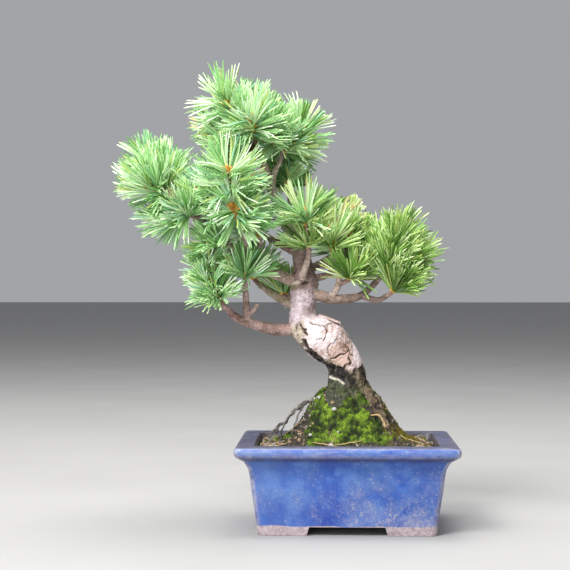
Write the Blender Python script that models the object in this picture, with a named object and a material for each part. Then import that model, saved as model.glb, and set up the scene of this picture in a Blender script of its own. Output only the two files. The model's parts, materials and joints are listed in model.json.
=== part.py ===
"""A japanese white pine trained as a bonsai, in a blue glazed rectangular pot.

Metres, +Z up. X runs to the right of the front view and Y runs away from it.
Every size below is measured from the centre of the pot's footprint. The last step
moves the whole plant so that the origin lies under the middle of its bounding box.
"""

import math
import random
from collections import namedtuple

import bmesh
import bpy
import numpy as np
from mathutils import Euler, Vector, noise

# Pot
POT_HEIGHT = 0.064
LIP_HALF_WIDTH = 0.080
LIP_HALF_DEPTH = 0.0625
LIP_WIDTH = 0.014
POT_CORNER_RADIUS = 0.0045
CORNER_STEPS = 3
FOOT_HEIGHT = 0.006
FOOT_ARM = 0.012
FRONT_GAP_HALF = 0.0295
SIDE_GAP_HALF = 0.020
GAP_SLOPE = 0.0025
FLOOR_TOP = 0.012
INNER_FLOOR_INSET = 0.021
DRAIN_RADIUS = 0.006
DRAIN_OFFSET = 0.030
# Height of the outer wall's sections, and how far each lies inside the lip's widest line
POT_PROFILE = (
    (0.0000, 0.0158), (0.0100, 0.0150), (0.0220, 0.0134), (0.0330, 0.0118),
    (0.0450, 0.0103), (0.0500, 0.0084), (0.0530, 0.0066), (0.0550, 0.0036),
    (0.0572, 0.0007), (0.0600, 0.0000), (0.0625, 0.0006), (0.0640, 0.0022),
)

# Soil and moss
CLEARANCE = 0.0003
SOIL_TOP = 0.0540
MOUND_SHIFT = 0.0005
MOSS_LUMP = 0.0016
MOSS_SECTORS = 32
MOSS_SQUARENESS = 18
# Height of the moss at shares of the way from the pot's wall (1) to the mound's middle (0)
MOSS_SHARES = (1.0, 0.90, 0.80, 0.70, 0.615, 0.54, 0.46, 0.39, 0.31, 0.15)
MOSS_HEIGHTS = (
    0.0575, 0.0588, 0.0618, 0.0658, 0.0708, 0.0775, 0.0862, 0.0932, 0.0988, 0.1040,
)

# Trunk: centre of each section, and its radius
TRUNK_SIDES = 18
TRUNK_SECTIONS = (
    ((0.0040, 0.000, SOIL_TOP + CLEARANCE), 0.0260),
    ((0.0040, 0.000, 0.0660), 0.0222),
    ((0.0030, 0.000, 0.0800), 0.0185),
    ((0.0020, 0.000, 0.0920), 0.0163),
    ((0.0008, 0.000, 0.1040), 0.0148),
    ((0.0000, 0.000, 0.1135), 0.0132),
    ((-0.0010, 0.000, 0.1200), 0.0126),
    ((-0.0068, 0.000, 0.1280), 0.0137),
    ((-0.0140, -0.001, 0.1350), 0.0160),
    ((-0.0210, -0.001, 0.1408), 0.0156),
    ((-0.0300, -0.001, 0.1470), 0.0122),
    ((-0.0325, 0.000, 0.1540), 0.0100),
    ((-0.0322, 0.000, 0.1632), 0.0094),
    ((-0.0318, 0.000, 0.1780), 0.0103),
    ((-0.0322, 0.001, 0.1860), 0.0086),
    ((-0.0325, 0.001, 0.1930), 0.0072),
    ((-0.0346, 0.002, 0.2040), 0.0062),
    ((-0.0414, 0.004, 0.2175), 0.0051),
    ((-0.0504, 0.005, 0.2377), 0.0042),
    ((-0.0555, 0.004, 0.2488), 0.0037),
    ((-0.0584, 0.002, 0.2591), 0.0031),
)
TRUNK_STEPS = 2
# Surface roots: direction round the trunk in degrees, and how far each swells at the ground
ROOTS = ((0, 0.72), (78, 0.34), (141, 0.40), (205, 0.42), (262, 0.30), (312, 0.38))
ROOT_SPREAD = 24
ROOT_TOP = 0.108

# A thin root that stands out of the moss, and a loose plate of bark on the trunk's shoulder
ROOT_RADII = (0.0014, 0.0009)
ROOT_PATH = (
    (-0.0225, -0.003, 0.0930), (-0.0275, -0.004, 0.0925), (-0.0384, -0.006, 0.0853),
    (-0.0456, -0.007, 0.0772), (-0.0517, -0.007, 0.0727), (-0.0506, -0.007, 0.0660),
    (-0.0490, -0.006, 0.0620), (-0.0480, -0.006, 0.0570),
)
PLATE_PATH = (
    (-0.0203, -0.003, 0.1555), (-0.0160, -0.004, 0.1542), (-0.0105, -0.005, 0.1523),
    (-0.0045, -0.005, 0.1498),
)
PLATE_HALF_WIDTHS = (0.0028, 0.0050, 0.0046, 0.0022)
PLATE_HALF_THICKNESS = 0.0009

# Limbs: straight runs between two path points, and the collar where one leaves its parent
LIMB_STEPS = 2
COLLAR = 0.30
COLLAR_LENGTH = 0.006

Limb = namedtuple("Limb", "name parent base_radius tip_radius path")
LIMBS = (
    Limb("low_left_bough", "trunk", 0.0050, 0.0022, (
        (-0.0324, 0.000, 0.1461), (-0.0515, -0.005, 0.1447), (-0.0624, -0.009, 0.1474),
        (-0.0732, -0.013, 0.1508), (-0.0810, -0.017, 0.1546), (-0.0875, -0.021, 0.1605))),
    Limb("left_upright_twig", "low_left_bough", 0.0025, 0.0019, (
        (-0.0735, -0.0131, 0.1510), (-0.0739, -0.014, 0.1670), (-0.0745, -0.016, 0.1800))),
    Limb("pruned_stub", "left_upright_twig", 0.0018, 0.0015, (
        (-0.0738, -0.0133, 0.1555), (-0.0695, -0.011, 0.1585), (-0.0654, -0.008, 0.1640))),
    Limb("lichen_bough", "trunk", 0.0034, 0.0019, (
        (-0.0326, 0.000, 0.1600), (-0.0466, 0.004, 0.1661), (-0.0557, 0.008, 0.1713),
        (-0.0660, 0.013, 0.1790))),
    Limb("left_bough", "trunk", 0.0048, 0.0021, (
        (-0.0320, 0.000, 0.1775), (-0.0464, -0.003, 0.1839), (-0.0566, -0.006, 0.1880),
        (-0.0675, -0.010, 0.1935), (-0.0783, -0.014, 0.2000), (-0.0870, -0.019, 0.2065))),
    Limb("left_riser", "left_bough", 0.0024, 0.0018, (
        (-0.0610, -0.0075, 0.1900), (-0.0620, -0.012, 0.2010), (-0.0634, -0.016, 0.2080))),
    Limb("far_left_bough", "left_bough", 0.0027, 0.0019, (
        (-0.0750, -0.0128, 0.1980), (-0.0917, -0.012, 0.2140), (-0.1055, -0.014, 0.2279),
        (-0.1230, -0.016, 0.2395))),
    Limb("left_fork_twig", "far_left_bough", 0.0020, 0.0017, (
        (-0.0970, -0.0126, 0.2195), (-0.1040, -0.018, 0.2240), (-0.1085, -0.021, 0.2265))),
    Limb("front_left_bough", "left_bough", 0.0029, 0.0020, (
        (-0.0690, -0.0105, 0.1945), (-0.0725, -0.022, 0.2050), (-0.0755, -0.031, 0.2150))),
    Limb("front_twig", "trunk", 0.0026, 0.0020, (
        (-0.0322, -0.001, 0.1800), (-0.0325, -0.010, 0.1850), (-0.0299, -0.0135, 0.1915),
        (-0.0285, -0.014, 0.1965))),
    Limb("right_low_bough", "trunk", 0.0044, 0.0020, (
        (-0.0318, 0.000, 0.1735), (-0.0138, -0.005, 0.1684), (-0.0049, -0.007, 0.1677),
        (0.0046, -0.009, 0.1684), (0.0112, -0.009, 0.1706), (0.0171, -0.009, 0.1758),
        (0.0225, -0.010, 0.1810))),
    Limb("right_low_twig", "right_low_bough", 0.0022, 0.0018, (
        (0.0105, -0.0090, 0.1702), (0.0221, -0.013, 0.1670), (0.0290, -0.015, 0.1700))),
    Limb("right_mid_bough", "trunk", 0.0030, 0.0020, (
        (-0.0320, 0.001, 0.1815), (-0.0153, 0.004, 0.1851), (-0.0079, 0.006, 0.1907),
        (-0.0027, 0.006, 0.2000))),
    Limb("pale_twig", "right_low_bough", 0.0022, 0.0017, (
        (-0.0116, -0.0055, 0.1682), (-0.0064, -0.011, 0.1773), (-0.0062, -0.012, 0.1860),
        (-0.0085, -0.011, 0.1960))),
    Limb("inner_right_twig", "pale_twig", 0.0017, 0.0015, (
        (-0.0064, -0.0115, 0.1785), (0.0000, -0.0135, 0.1808))),
    Limb("upper_right_bough", "trunk", 0.0024, 0.0018, (
        (-0.0560, 0.0035, 0.2505), (-0.0535, 0.005, 0.2620), (-0.0500, 0.006, 0.2690))),
    Limb("back_low_bough", "trunk", 0.0038, 0.0021, (
        (-0.0322, 0.000, 0.1690), (-0.0370, 0.014, 0.1705), (-0.0440, 0.026, 0.1690))),
    Limb("back_right_bough", "trunk", 0.0036, 0.0021, (
        (-0.0322, 0.001, 0.1870), (-0.0220, 0.016, 0.1930), (-0.0130, 0.030, 0.1985))),
    Limb("back_far_right_twig", "back_right_bough", 0.0024, 0.0018, (
        (-0.0215, 0.0165, 0.1933), (-0.0050, 0.024, 0.1930), (0.0090, 0.029, 0.1960))),
    Limb("back_left_bough", "trunk", 0.0034, 0.0021, (
        (-0.0340, 0.002, 0.2010), (-0.0500, 0.015, 0.2090), (-0.0680, 0.025, 0.2180))),
    Limb("back_high_bough", "trunk", 0.0028, 0.0019, (
        (-0.0440, 0.0045, 0.2240), (-0.0420, 0.016, 0.2360), (-0.0430, 0.025, 0.2480))),
)

# Foliage: each mass is a group of shoots spread over an ellipsoid round its centre
Mass = namedtuple("Mass", "name limb shoots seed centre spread")
MASSES = (
    Mass("apex_left_foliage", "trunk", 5, 6067, (-0.082, -0.006, 0.301), (0.018, 0.028, 0.018)),
    Mass("apex_right_foliage", "upper_right_bough", 4, 11892,
         (-0.049, 0.009, 0.291), (0.017, 0.025, 0.019)),
    Mass("far_left_foliage", "far_left_bough", 3, 1147,
         (-0.142, -0.004, 0.258), (0.008, 0.025, 0.013)),
    Mass("left_fork_foliage", "left_fork_twig", 2, 63,
         (-0.123, -0.015, 0.230), (0.015, 0.015, 0.003)),
    Mass("front_left_foliage", "front_left_bough", 4, 6622,
         (-0.085, -0.025, 0.248), (0.023, 0.017, 0.016)),
    Mass("left_tip_foliage", "left_bough", 1, 1, (-0.098, -0.020, 0.209), (0, 0, 0)),
    Mass("left_riser_foliage", "left_riser", 1, 1, (-0.071, -0.018, 0.220), (0, 0, 0)),
    Mass("low_left_foliage", "low_left_bough", 3, 2188,
         (-0.098, -0.022, 0.180), (0.008, 0.008, 0.026)),
    Mass("left_upright_foliage", "left_upright_twig", 1, 1, (-0.076, -0.017, 0.188), (0, 0, 0)),
    Mass("lichen_bough_foliage", "lichen_bough", 1, 1, (-0.073, 0.017, 0.191), (0, 0, 0)),
    Mass("front_centre_foliage", "front_twig", 2, 105,
         (-0.030, -0.017, 0.217), (0.005, 0.003, 0.013)),
    Mass("right_mid_foliage", "right_mid_bough", 2, 14,
         (0.001, 0.009, 0.223), (0.005, 0.012, 0.014)),
    Mass("pale_twig_foliage", "pale_twig", 1, 1, (-0.013, -0.010, 0.217), (0, 0, 0)),
    Mass("inner_right_foliage", "inner_right_twig", 1, 1, (0.005, -0.016, 0.186), (0, 0, 0)),
    Mass("far_right_foliage", "right_low_bough", 4, 9739,
         (0.035, -0.003, 0.203), (0.018, 0.012, 0.011)),
    Mass("right_low_foliage", "right_low_twig", 1, 1, (0.037, -0.018, 0.180), (0, 0, 0)),
    Mass("back_low_foliage", "back_low_bough", 2, 1,
         (-0.052, 0.040, 0.176), (0.014, 0.006, 0.004)),
    Mass("back_right_foliage", "back_right_bough", 2, 1,
         (-0.006, 0.045, 0.211), (0.012, 0.006, 0.008)),
    Mass("back_far_right_foliage", "back_far_right_twig", 2, 1,
         (0.026, 0.038, 0.201), (0.012, 0.005, 0.008)),
    Mass("back_left_foliage", "back_left_bough", 3, 1,
         (-0.088, 0.034, 0.231), (0.016, 0.010, 0.010)),
    Mass("back_high_foliage", "back_high_bough", 3, 1,
         (-0.047, 0.039, 0.262), (0.015, 0.008, 0.012)),
)
GOLDEN_ANGLE = math.pi * (3 - math.sqrt(5))
STEM_SIDES = 6
STEM_STRAIGHT = 0.0012
TWIG_SIDES = 4
TWIG_RADIUS = 0.0011
TWIG_LIFT = 0.8
NEEDLE_LENGTH = 0.034
NEEDLE_SHARE = 0.82
CORE_RADIUS = 0.0031
CORE_STRETCH = 1.6
FORWARD_PULL = 0.5
BACK_LIMIT = -0.3
SHORTER = (1.0, 0.88, 0.76, 0.64, 0.52)
NEEDLE_HALF_THICKNESS = 0.0012
ALONG = (0.0, 0.15, 0.35, 0.55, 0.78, 1.0)

COLOURS = {
    "glaze": ((0.045, 0.130, 0.420), 0.22),
    "soil": ((0.070, 0.045, 0.028), 0.95),
    "moss": ((0.115, 0.210, 0.018), 0.95),
    "bark": ((0.330, 0.250, 0.205), 0.88),
    "twig_bark": ((0.300, 0.215, 0.165), 0.85),
    "root_bark": ((0.110, 0.095, 0.070), 0.92),
    "needles": ((0.150, 0.330, 0.110), 0.55),
}


def clear_scene():
    for obj in list(bpy.data.objects):
        bpy.data.objects.remove(obj, do_unlink=True)


def make_collection(name):
    collection = bpy.data.collections.new(name)
    bpy.context.scene.collection.children.link(collection)
    return collection


def make_material(name):
    colour, roughness = COLOURS[name]
    material = bpy.data.materials.new(name)
    material.use_nodes = True
    shader = material.node_tree.nodes["Principled BSDF"]
    shader.inputs["Base Color"].default_value = (*colour, 1)
    shader.inputs["Roughness"].default_value = roughness
    shader.inputs["Metallic"].default_value = 0
    material.diffuse_color = (*colour, 1)
    return material


def add_object(name, mesh, collection, material=None):
    obj = bpy.data.objects.new(name, mesh)
    collection.objects.link(obj)
    if material:
        mesh.materials.append(material)
    return obj


def mesh_from_bmesh(bm, name):
    bmesh.ops.recalc_face_normals(bm, faces=bm.faces)
    mesh = bpy.data.meshes.new(name)
    bm.to_mesh(mesh)
    bm.free()
    return mesh


def loft_mesh(rings, name):
    """A closed solid through rings of the same number of points, with flat ends."""
    bm = bmesh.new()
    rows = [[bm.verts.new(point) for point in ring] for ring in rings]
    count = len(rows[0])
    for low, high in zip(rows, rows[1:]):
        for i in range(count):
            j = (i + 1) % count
            bm.faces.new((low[i], low[j], high[j]))
            bm.faces.new((low[i], high[j], high[i]))
    bm.faces.new(rows[0][::-1])
    bm.faces.new(rows[-1])
    return mesh_from_bmesh(bm, name)


def evaluated_mesh(obj):
    """The object's mesh with its modifiers applied and its points in world space."""
    bpy.context.view_layer.update()
    graph = bpy.context.evaluated_depsgraph_get()
    mesh = bpy.data.meshes.new_from_object(obj.evaluated_get(graph))
    mesh.transform(obj.matrix_world)
    bm = bmesh.new()
    bm.from_mesh(mesh)
    bmesh.ops.remove_doubles(bm, verts=bm.verts, dist=1e-6)
    bmesh.ops.recalc_face_normals(bm, faces=bm.faces)
    bm.to_mesh(mesh)
    bm.free()
    return mesh


def add_boolean(obj, operation, cutter):
    modifier = obj.modifiers.new(f"{operation.lower()} {cutter.name}", "BOOLEAN")
    modifier.operation = operation
    modifier.solver = "EXACT"
    modifier.object = cutter


def keep_as_cutter(obj):
    obj.hide_render = True
    obj.display_type = "WIRE"


def shade_round(obj, degrees=35):
    obj.data.shade_smooth()
    obj.data.set_sharp_from_angle(angle=math.radians(degrees))


def rounded_ring(half_x, half_y, radius, z):
    """Points of a rectangle with rounded corners, counter-clockwise from above."""
    points = []
    for quarter, (sx, sy) in enumerate(((1, 1), (-1, 1), (-1, -1), (1, -1))):
        centre = Vector((sx * (half_x - radius), sy * (half_y - radius), z))
        for step in range(CORNER_STEPS + 1):
            angle = (quarter + step / CORNER_STEPS) * math.pi / 2
            points.append(centre + radius * Vector((math.cos(angle), math.sin(angle), 0)))
    return points


def inner_inset(z):
    """How far the pot's inner wall lies inside the lip's widest line at height z."""
    share = min(1, max(0, (z - FLOOR_TOP) / (POT_HEIGHT - FLOOR_TOP)))
    return INNER_FLOOR_INSET + (LIP_WIDTH - INNER_FLOOR_INSET) * share


def inner_ring(z, gap=0.0, height=None):
    inset = inner_inset(z) + gap
    radius = POT_CORNER_RADIUS - gap
    return rounded_ring(
        LIP_HALF_WIDTH - inset, LIP_HALF_DEPTH - inset, radius, z if height is None else height
    )


def block_between(name, low_half, high_half, low_z, high_z):
    """A block whose top and bottom rectangles differ in size."""
    corners = ((1, 1), (-1, 1), (-1, -1), (1, -1))
    rings = []
    for (half_x, half_y), z in ((low_half, low_z), (high_half, high_z)):
        rings.append([Vector((sx * half_x, sy * half_y, z)) for sx, sy in corners])
    return loft_mesh(rings, name)


def make_pot(parts, cutters, material):
    rings = [
        rounded_ring(LIP_HALF_WIDTH - inset, LIP_HALF_DEPTH - inset, POT_CORNER_RADIUS, z)
        for z, inset in POT_PROFILE
    ]
    rings += [inner_ring(POT_HEIGHT), inner_ring(FLOOR_TOP)]
    pot = add_object("pot", loft_mesh(rings, "pot"), parts, material)

    beyond = 0.002
    recess_half = (
        LIP_HALF_WIDTH - POT_PROFILE[0][1] - FOOT_ARM,
        LIP_HALF_DEPTH - POT_PROFILE[0][1] - FOOT_ARM,
    )
    gaps = {
        "front_gap": ((FRONT_GAP_HALF, LIP_HALF_DEPTH), (FRONT_GAP_HALF - GAP_SLOPE, LIP_HALF_DEPTH)),
        "side_gap": ((LIP_HALF_WIDTH, SIDE_GAP_HALF), (LIP_HALF_WIDTH, SIDE_GAP_HALF - GAP_SLOPE)),
        "recess": (recess_half, recess_half),
    }
    for order, (name, (low, high)) in enumerate(gaps.items()):
        mesh = block_between(name, low, high, -beyond, FOOT_HEIGHT + 0.0002 * order)
        cutter = add_object(name, mesh, cutters)
        keep_as_cutter(cutter)
        add_boolean(pot, "DIFFERENCE", cutter)
    for side in (-1, 1):
        bm = bmesh.new()
        bmesh.ops.create_cone(
            bm, cap_ends=True, segments=16, radius1=DRAIN_RADIUS, radius2=DRAIN_RADIUS,
            depth=FLOOR_TOP + 2 * beyond,
        )
        cutter = add_object("drain_hole", mesh_from_bmesh(bm, "drain_hole"), cutters)
        cutter.location = (side * DRAIN_OFFSET, 0, FLOOR_TOP / 2)
        keep_as_cutter(cutter)
        add_boolean(pot, "DIFFERENCE", cutter)
    shade_round(pot, 30)
    return pot


def make_soil(parts, material):
    floor = FLOOR_TOP + CLEARANCE
    rings = [inner_ring(floor, CLEARANCE), inner_ring(SOIL_TOP, CLEARANCE)]
    return add_object("soil", loft_mesh(rings, "soil"), parts, material)


def make_moss(parts, material):
    """A carpet of moss that climbs to a round mound about the trunk's foot."""
    inset = inner_inset(SOIL_TOP) + 2 * CLEARANCE
    half_width, half_depth = LIP_HALF_WIDTH - inset, LIP_HALF_DEPTH - inset
    rings = []
    for share, height in ((1, None), *zip(MOSS_SHARES, MOSS_HEIGHTS)):
        ring = []
        for k in range(MOSS_SECTORS):
            angle = math.tau * k / MOSS_SECTORS
            along, across = math.cos(angle), math.sin(angle)
            corner = abs(along) ** MOSS_SQUARENESS + abs(across) ** MOSS_SQUARENESS
            square = corner ** (-1 / MOSS_SQUARENESS)
            out = share * (1 + (square - 1) * share**3)
            x = MOUND_SHIFT * (1 - share) + half_width * along * out
            y = half_depth * across * out
            lump = noise.noise((x * 95, y * 95, 0)) + 0.5 * noise.noise((x * 260, y * 260, 0))
            lift = MOSS_LUMP * lump * (1.0 if share < 1 else 0.3)
            ring.append(Vector((x, y, height + lift if height else SOIL_TOP + CLEARANCE)))
        rings.append(ring)
    return add_object("moss", loft_mesh(rings, "moss"), parts, material)


def smooth_path(points, steps):
    """Points along a Catmull-Rom curve through the given ones."""
    points = [Vector(p) for p in points]
    padded = [2 * points[0] - points[1], *points, 2 * points[-1] - points[-2]]
    path = []
    for a, b, c, d in zip(padded, padded[1:], padded[2:], padded[3:]):
        for step in range(steps):
            t = step / steps
            path.append(
                0.5 * (2 * b + (c - a) * t + (2 * a - 5 * b + 4 * c - d) * t**2
                       + (3 * b - a - 3 * c + d) * t**3)
            )
    return [*path, points[-1]]


def path_lengths(path):
    lengths = [0.0]
    for a, b in zip(path, path[1:]):
        lengths.append(lengths[-1] + (b - a).length)
    return lengths


def root_swell(angle, z):
    """How far the surface roots swell the trunk's section, as a share of its radius."""
    depth = max(0, (ROOT_TOP - z) / (ROOT_TOP - SOIL_TOP)) ** 1.15
    swell = 0.0
    for degrees, height in ROOTS:
        away = abs((math.degrees(angle) - degrees + 180) % 360 - 180)
        swell += height * math.exp(-((away / ROOT_SPREAD) ** 2))
    return swell * depth


def trunk_line():
    """Centre line of the trunk and its radius at each point."""
    path = smooth_path([centre for centre, _ in TRUNK_SECTIONS], TRUNK_STEPS)
    radii = []
    for (_, here), (_, after) in zip(TRUNK_SECTIONS, TRUNK_SECTIONS[1:]):
        radii += [here + (after - here) * step / TRUNK_STEPS for step in range(TRUNK_STEPS)]
    return path, [*radii, TRUNK_SECTIONS[-1][1]]


def trunk_mesh(name, extra=0.0):
    """The trunk from its flat cut on the soil to its tip, swollen by extra."""
    path, radii = trunk_line()
    rings = []
    side, tangent = Vector((1, 0, 0)), Vector((0, 0, 1))
    for i, (centre, radius) in enumerate(zip(path, radii)):
        if 0 < i < len(path) - 1:
            tangent = (path[i + 1] - path[i - 1]).normalized()
        elif i:
            tangent = (path[i] - path[i - 1]).normalized()
        side = (side - tangent * side.dot(tangent)).normalized()
        across = tangent.cross(side)
        ring = []
        for k in range(TRUNK_SIDES):
            angle = math.tau * k / TRUNK_SIDES
            out = side * math.cos(angle) + across * math.sin(angle)
            knob = 0.045 * noise.noise((centre + out * 0.012) * 70)
            reach = radius * (1 + root_swell(angle, centre.z) + knob) + extra
            ring.append(centre + out * reach)
        rings.append(ring)
    if extra:
        drop = Vector((0, 0, 0.002))
        rings.insert(0, [point - drop for point in rings[0]])
        rings.append([point + tangent * 0.002 for point in rings[-1]])
    return loft_mesh(rings, name)


def limb_line(limb, parent_line):
    """Centre line of a limb and its radius at each point: a swollen collar, then a taper.

    The first radius is held to less than the parent's, so the end stays inside the parent.
    """
    path = smooth_path(limb.path, LIMB_STEPS)
    lengths = path_lengths(path)
    radii = []
    for length in lengths:
        share = length / lengths[-1]
        taper = limb.tip_radius + (limb.base_radius - limb.tip_radius) * (1 - share) ** 0.85
        radii.append(taper * (1 + COLLAR * math.exp(-length / COLLAR_LENGTH) * (1 - share)))
    parent_path, parent_radii = parent_line
    nearest = min(range(len(parent_path)), key=lambda i: (parent_path[i] - path[0]).length)
    radii[0] = min(radii[0], 0.75 * parent_radii[nearest])
    return path, radii


def tube_mesh(name, path, radii, sides, extra=0.0):
    """A tapering tube with closed ends, made as a bevelled curve and turned into a mesh."""
    curve = bpy.data.curves.new(name, "CURVE")
    curve.dimensions = "3D"
    curve.twist_mode = "MINIMUM"
    curve.bevel_depth = 1.0
    curve.use_fill_caps = True
    curve.bevel_resolution = (sides - 4) // 2
    spline = curve.splines.new("POLY")
    spline.points.add(len(path) - 1)
    for point, centre, radius in zip(spline.points, path, radii):
        point.co = (*centre, 1)
        point.radius = radius + extra
    holder = bpy.data.objects.new(name + "_curve", curve)
    bpy.context.scene.collection.objects.link(holder)
    mesh = evaluated_mesh(holder)
    bpy.data.objects.remove(holder)
    bpy.data.curves.remove(curve)
    mesh.name = name
    return mesh


def make_exposed_root(parts, cutters, material):
    """The thin root, and its swollen copy that clears a bed for it in the moss."""
    path = smooth_path(ROOT_PATH, LIMB_STEPS)
    first, last = ROOT_RADII
    radii = [first + (last - first) * i / (len(path) - 1) for i in range(len(path))]
    add_object("exposed_root", tube_mesh("exposed_root", path, radii, 6), parts, material)
    bed_path = [path[0] * 2 - path[1], *path[1:-1], path[-1] + (path[-1] - path[-2]) * 0.4]
    bed = add_object("root_bed", tube_mesh("root_bed", bed_path, radii, 6, CLEARANCE), cutters)
    keep_as_cutter(bed)
    return bed


def make_bark_plate(parts, space, material):
    """A thin slab of bark that lies on the trunk's shoulder, cut to its surface."""
    path = smooth_path(PLATE_PATH, LIMB_STEPS)
    rings = []
    for i, centre in enumerate(path):
        along = i / (len(path) - 1)
        half = float(np.interp(along, np.linspace(0, 1, len(PLATE_HALF_WIDTHS)), PLATE_HALF_WIDTHS))
        ring = []
        for k in range(8):
            angle = math.tau * k / 8
            arch = -0.12 * half * math.cos(angle) ** 2
            ring.append(centre + Vector((
                0.25 * PLATE_HALF_THICKNESS * math.sin(angle),
                -half * math.cos(angle),
                PLATE_HALF_THICKNESS * math.sin(angle) + arch,
            )))
        rings.append(ring)
    plate = add_object("bark_plate", loft_mesh(rings, "bark_plate"), parts, material)
    add_boolean(plate, "DIFFERENCE", space)
    return plate


def make_limbs(parts, cutters, material):
    """The boughs, each cut to sit just clear of the limb that carries it."""
    lines, swollen = {"trunk": trunk_line()}, {}
    swollen["trunk"] = add_object("trunk_space", trunk_mesh("trunk_space", CLEARANCE), cutters)
    keep_as_cutter(swollen["trunk"])
    parents = {limb.parent for limb in LIMBS}
    for limb in LIMBS:
        path, radii = limb_line(limb, lines[limb.parent])
        lines[limb.name] = (path, radii)
        sides = 8 if limb.base_radius > 0.003 else 6
        mesh = tube_mesh(limb.name, path, radii, sides)
        obj = add_object(limb.name, mesh, parts, material)
        add_boolean(obj, "DIFFERENCE", swollen[limb.parent])
        shade_round(obj, 50)
        if limb.name in parents:
            space = tube_mesh(limb.name + "_space", path, radii, sides, CLEARANCE)
            swollen[limb.name] = add_object(limb.name + "_space", space, cutters)
            keep_as_cutter(swollen[limb.name])
    return lines


def spread_shoots(mass):
    """Tips of a mass's shoots: a golden spiral over its ellipsoid, turned by its seed."""
    rng = random.Random(mass.seed)
    turn = Euler([rng.uniform(0, math.tau) for _ in range(3)]).to_matrix()
    tips = []
    for k in range(mass.shoots):
        height = 1 - (2 * k + 1) / mass.shoots
        ring = math.sqrt(1 - height * height)
        unit = turn @ Vector(
            (ring * math.cos(k * GOLDEN_ANGLE), ring * math.sin(k * GOLDEN_ANGLE), height)
        )
        tips.append(Vector(mass.centre) + unit * Vector(mass.spread))
    return tips


def grow_stem(mass, line):
    """The stem that carries on from the limb's tip, and a twig to each shoot.

    Returns the stem's path and radii, and for each shoot its path, radii and axis.
    """
    path, radii = line
    tangent = (path[-1] - path[-2]).normalized()
    first = path[-1] + tangent * CLEARANCE
    start = first + tangent * STEM_STRAIGHT
    tips = spread_shoots(mass)
    hub = start.lerp(Vector(mass.centre), 0.62 if mass.shoots > 1 else 1.0)
    reach = (hub - start).length
    bend = start + tangent * reach * 0.45
    stem = [first]
    stem += [(1 - t) ** 2 * start + 2 * t * (1 - t) * bend + t**2 * hub for t in (0, 0.33, 0.67, 1)]
    thick = radii[-1]
    stem_radii = [thick + (TWIG_RADIUS - thick) * 0.75 * k / (len(stem) - 1) for k in range(len(stem))]
    shoots = []
    for tip in tips:
        fork = stem[-2] if mass.shoots > 1 else stem[-3]
        outward = (tip - fork).normalized()
        axis = Vector((outward.x, outward.y, max(outward.z, 0) + TWIG_LIFT)).normalized()
        middle = fork.lerp(tip, 0.55) - Vector((0, 0, 0.0012))
        twig = [fork, middle, tip] if mass.shoots > 1 else []
        shoots.append((tip, axis, twig))
    return stem, stem_radii, shoots


def segment_table(lines):
    """Start, run and larger radius of every straight piece of some limbs, as arrays."""
    starts, runs, radii = [], [], []
    for path, widths in lines:
        for a, b, ra, rb in zip(path, path[1:], widths, widths[1:]):
            starts.append(a)
            runs.append(b - a)
            radii.append(max(ra, rb))
    return np.array(starts), np.array(runs), np.array(radii)


def needle_gap(root, along, table):
    """Smallest distance from a tapering needle to the surface of anything in the table."""
    starts, runs, radii = table
    away = np.array(root) - starts
    along = np.array(along)
    both = runs @ along
    lengths = (runs * runs).sum(1)
    own_length = along @ along
    behind = away @ along
    beside = (runs * away).sum(1)
    spread = own_length * lengths - both**2 + 1e-18
    share = np.clip((both * beside - behind * lengths) / spread, 0, 1)
    other = np.clip((both * share + beside) / lengths, 0, 1)
    share = np.clip((both * other - behind) / own_length, 0, 1)
    between = away + along * share[:, None] - runs * other[:, None]
    return (np.linalg.norm(between, axis=1) - radii - NEEDLE_HALF_THICKNESS * (1 - share)).min()


def needle_fits(root, along, own, others, limbs):
    """True where a needle keeps nearer its own shoot than other masses' and clear of limbs."""
    for share in ALONG:
        point = root + along * share
        margin = 2 * (NEEDLE_HALF_THICKNESS * (1 - share) + CLEARANCE)
        if np.linalg.norm(others - np.array(point), axis=1).min() - (point - own).length < margin:
            return False
    return needle_gap(root, along, limbs) > CLEARANCE


def tuft_mesh(name, tip, axis, others, limbs, rng):
    """One shoot's end: a slim core, with a needle drawn out of most of its faces.

    Returns the mesh, and each needle as a path with its radii.
    """
    bm = bmesh.new()
    needles = []
    bmesh.ops.create_icosphere(bm, subdivisions=2, radius=CORE_RADIUS)
    spin = Euler((0, 0, rng.uniform(0, math.tau))).to_matrix()
    turn = axis.to_track_quat("Z", "Y").to_matrix()
    for vert in bm.verts:
        local = spin @ vert.co
        local.z *= CORE_STRETCH
        vert.co = tip + turn @ local
    bm.normal_update()
    for face in list(bm.faces):
        normal = face.normal.copy()
        root = face.calc_center_median()
        full = NEEDLE_LENGTH * rng.uniform(0.84, 1.0)
        wanted = rng.random() < NEEDLE_SHARE and normal.dot(axis) > BACK_LIMIT
        if not wanted:
            continue
        direction = (normal + axis * FORWARD_PULL).normalized()
        for shorter in SHORTER:
            along = direction * full * shorter
            if needle_fits(root, along, tip, others, limbs):
                made = bmesh.ops.poke(bm, faces=[face])
                end = root + along
                made["verts"][0].co = end
                needles.append(((root, end), (NEEDLE_HALF_THICKNESS / 2,) * 2))
                break
    return mesh_from_bmesh(bm, name), needles


def fuse(name, base, pieces, parts, material):
    """One closed mesh of a stem and everything that stands on it."""
    holder = make_collection(name + "_pieces")
    for i, mesh in enumerate(pieces):
        add_object(f"{name}_{i}", mesh, holder)
    body = add_object(name + "_stem", base, parts)
    modifier = body.modifiers.new("join", "BOOLEAN")
    modifier.operation = "UNION"
    modifier.operand_type = "COLLECTION"
    modifier.collection = holder
    modifier.solver = "MANIFOLD"
    mesh = evaluated_mesh(body)
    mesh.name = name
    for piece in list(holder.objects):
        bpy.data.objects.remove(piece)
    bpy.data.collections.remove(holder)
    bpy.data.objects.remove(body)
    mesh.materials.clear()
    return add_object(name, mesh, parts, material)


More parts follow.
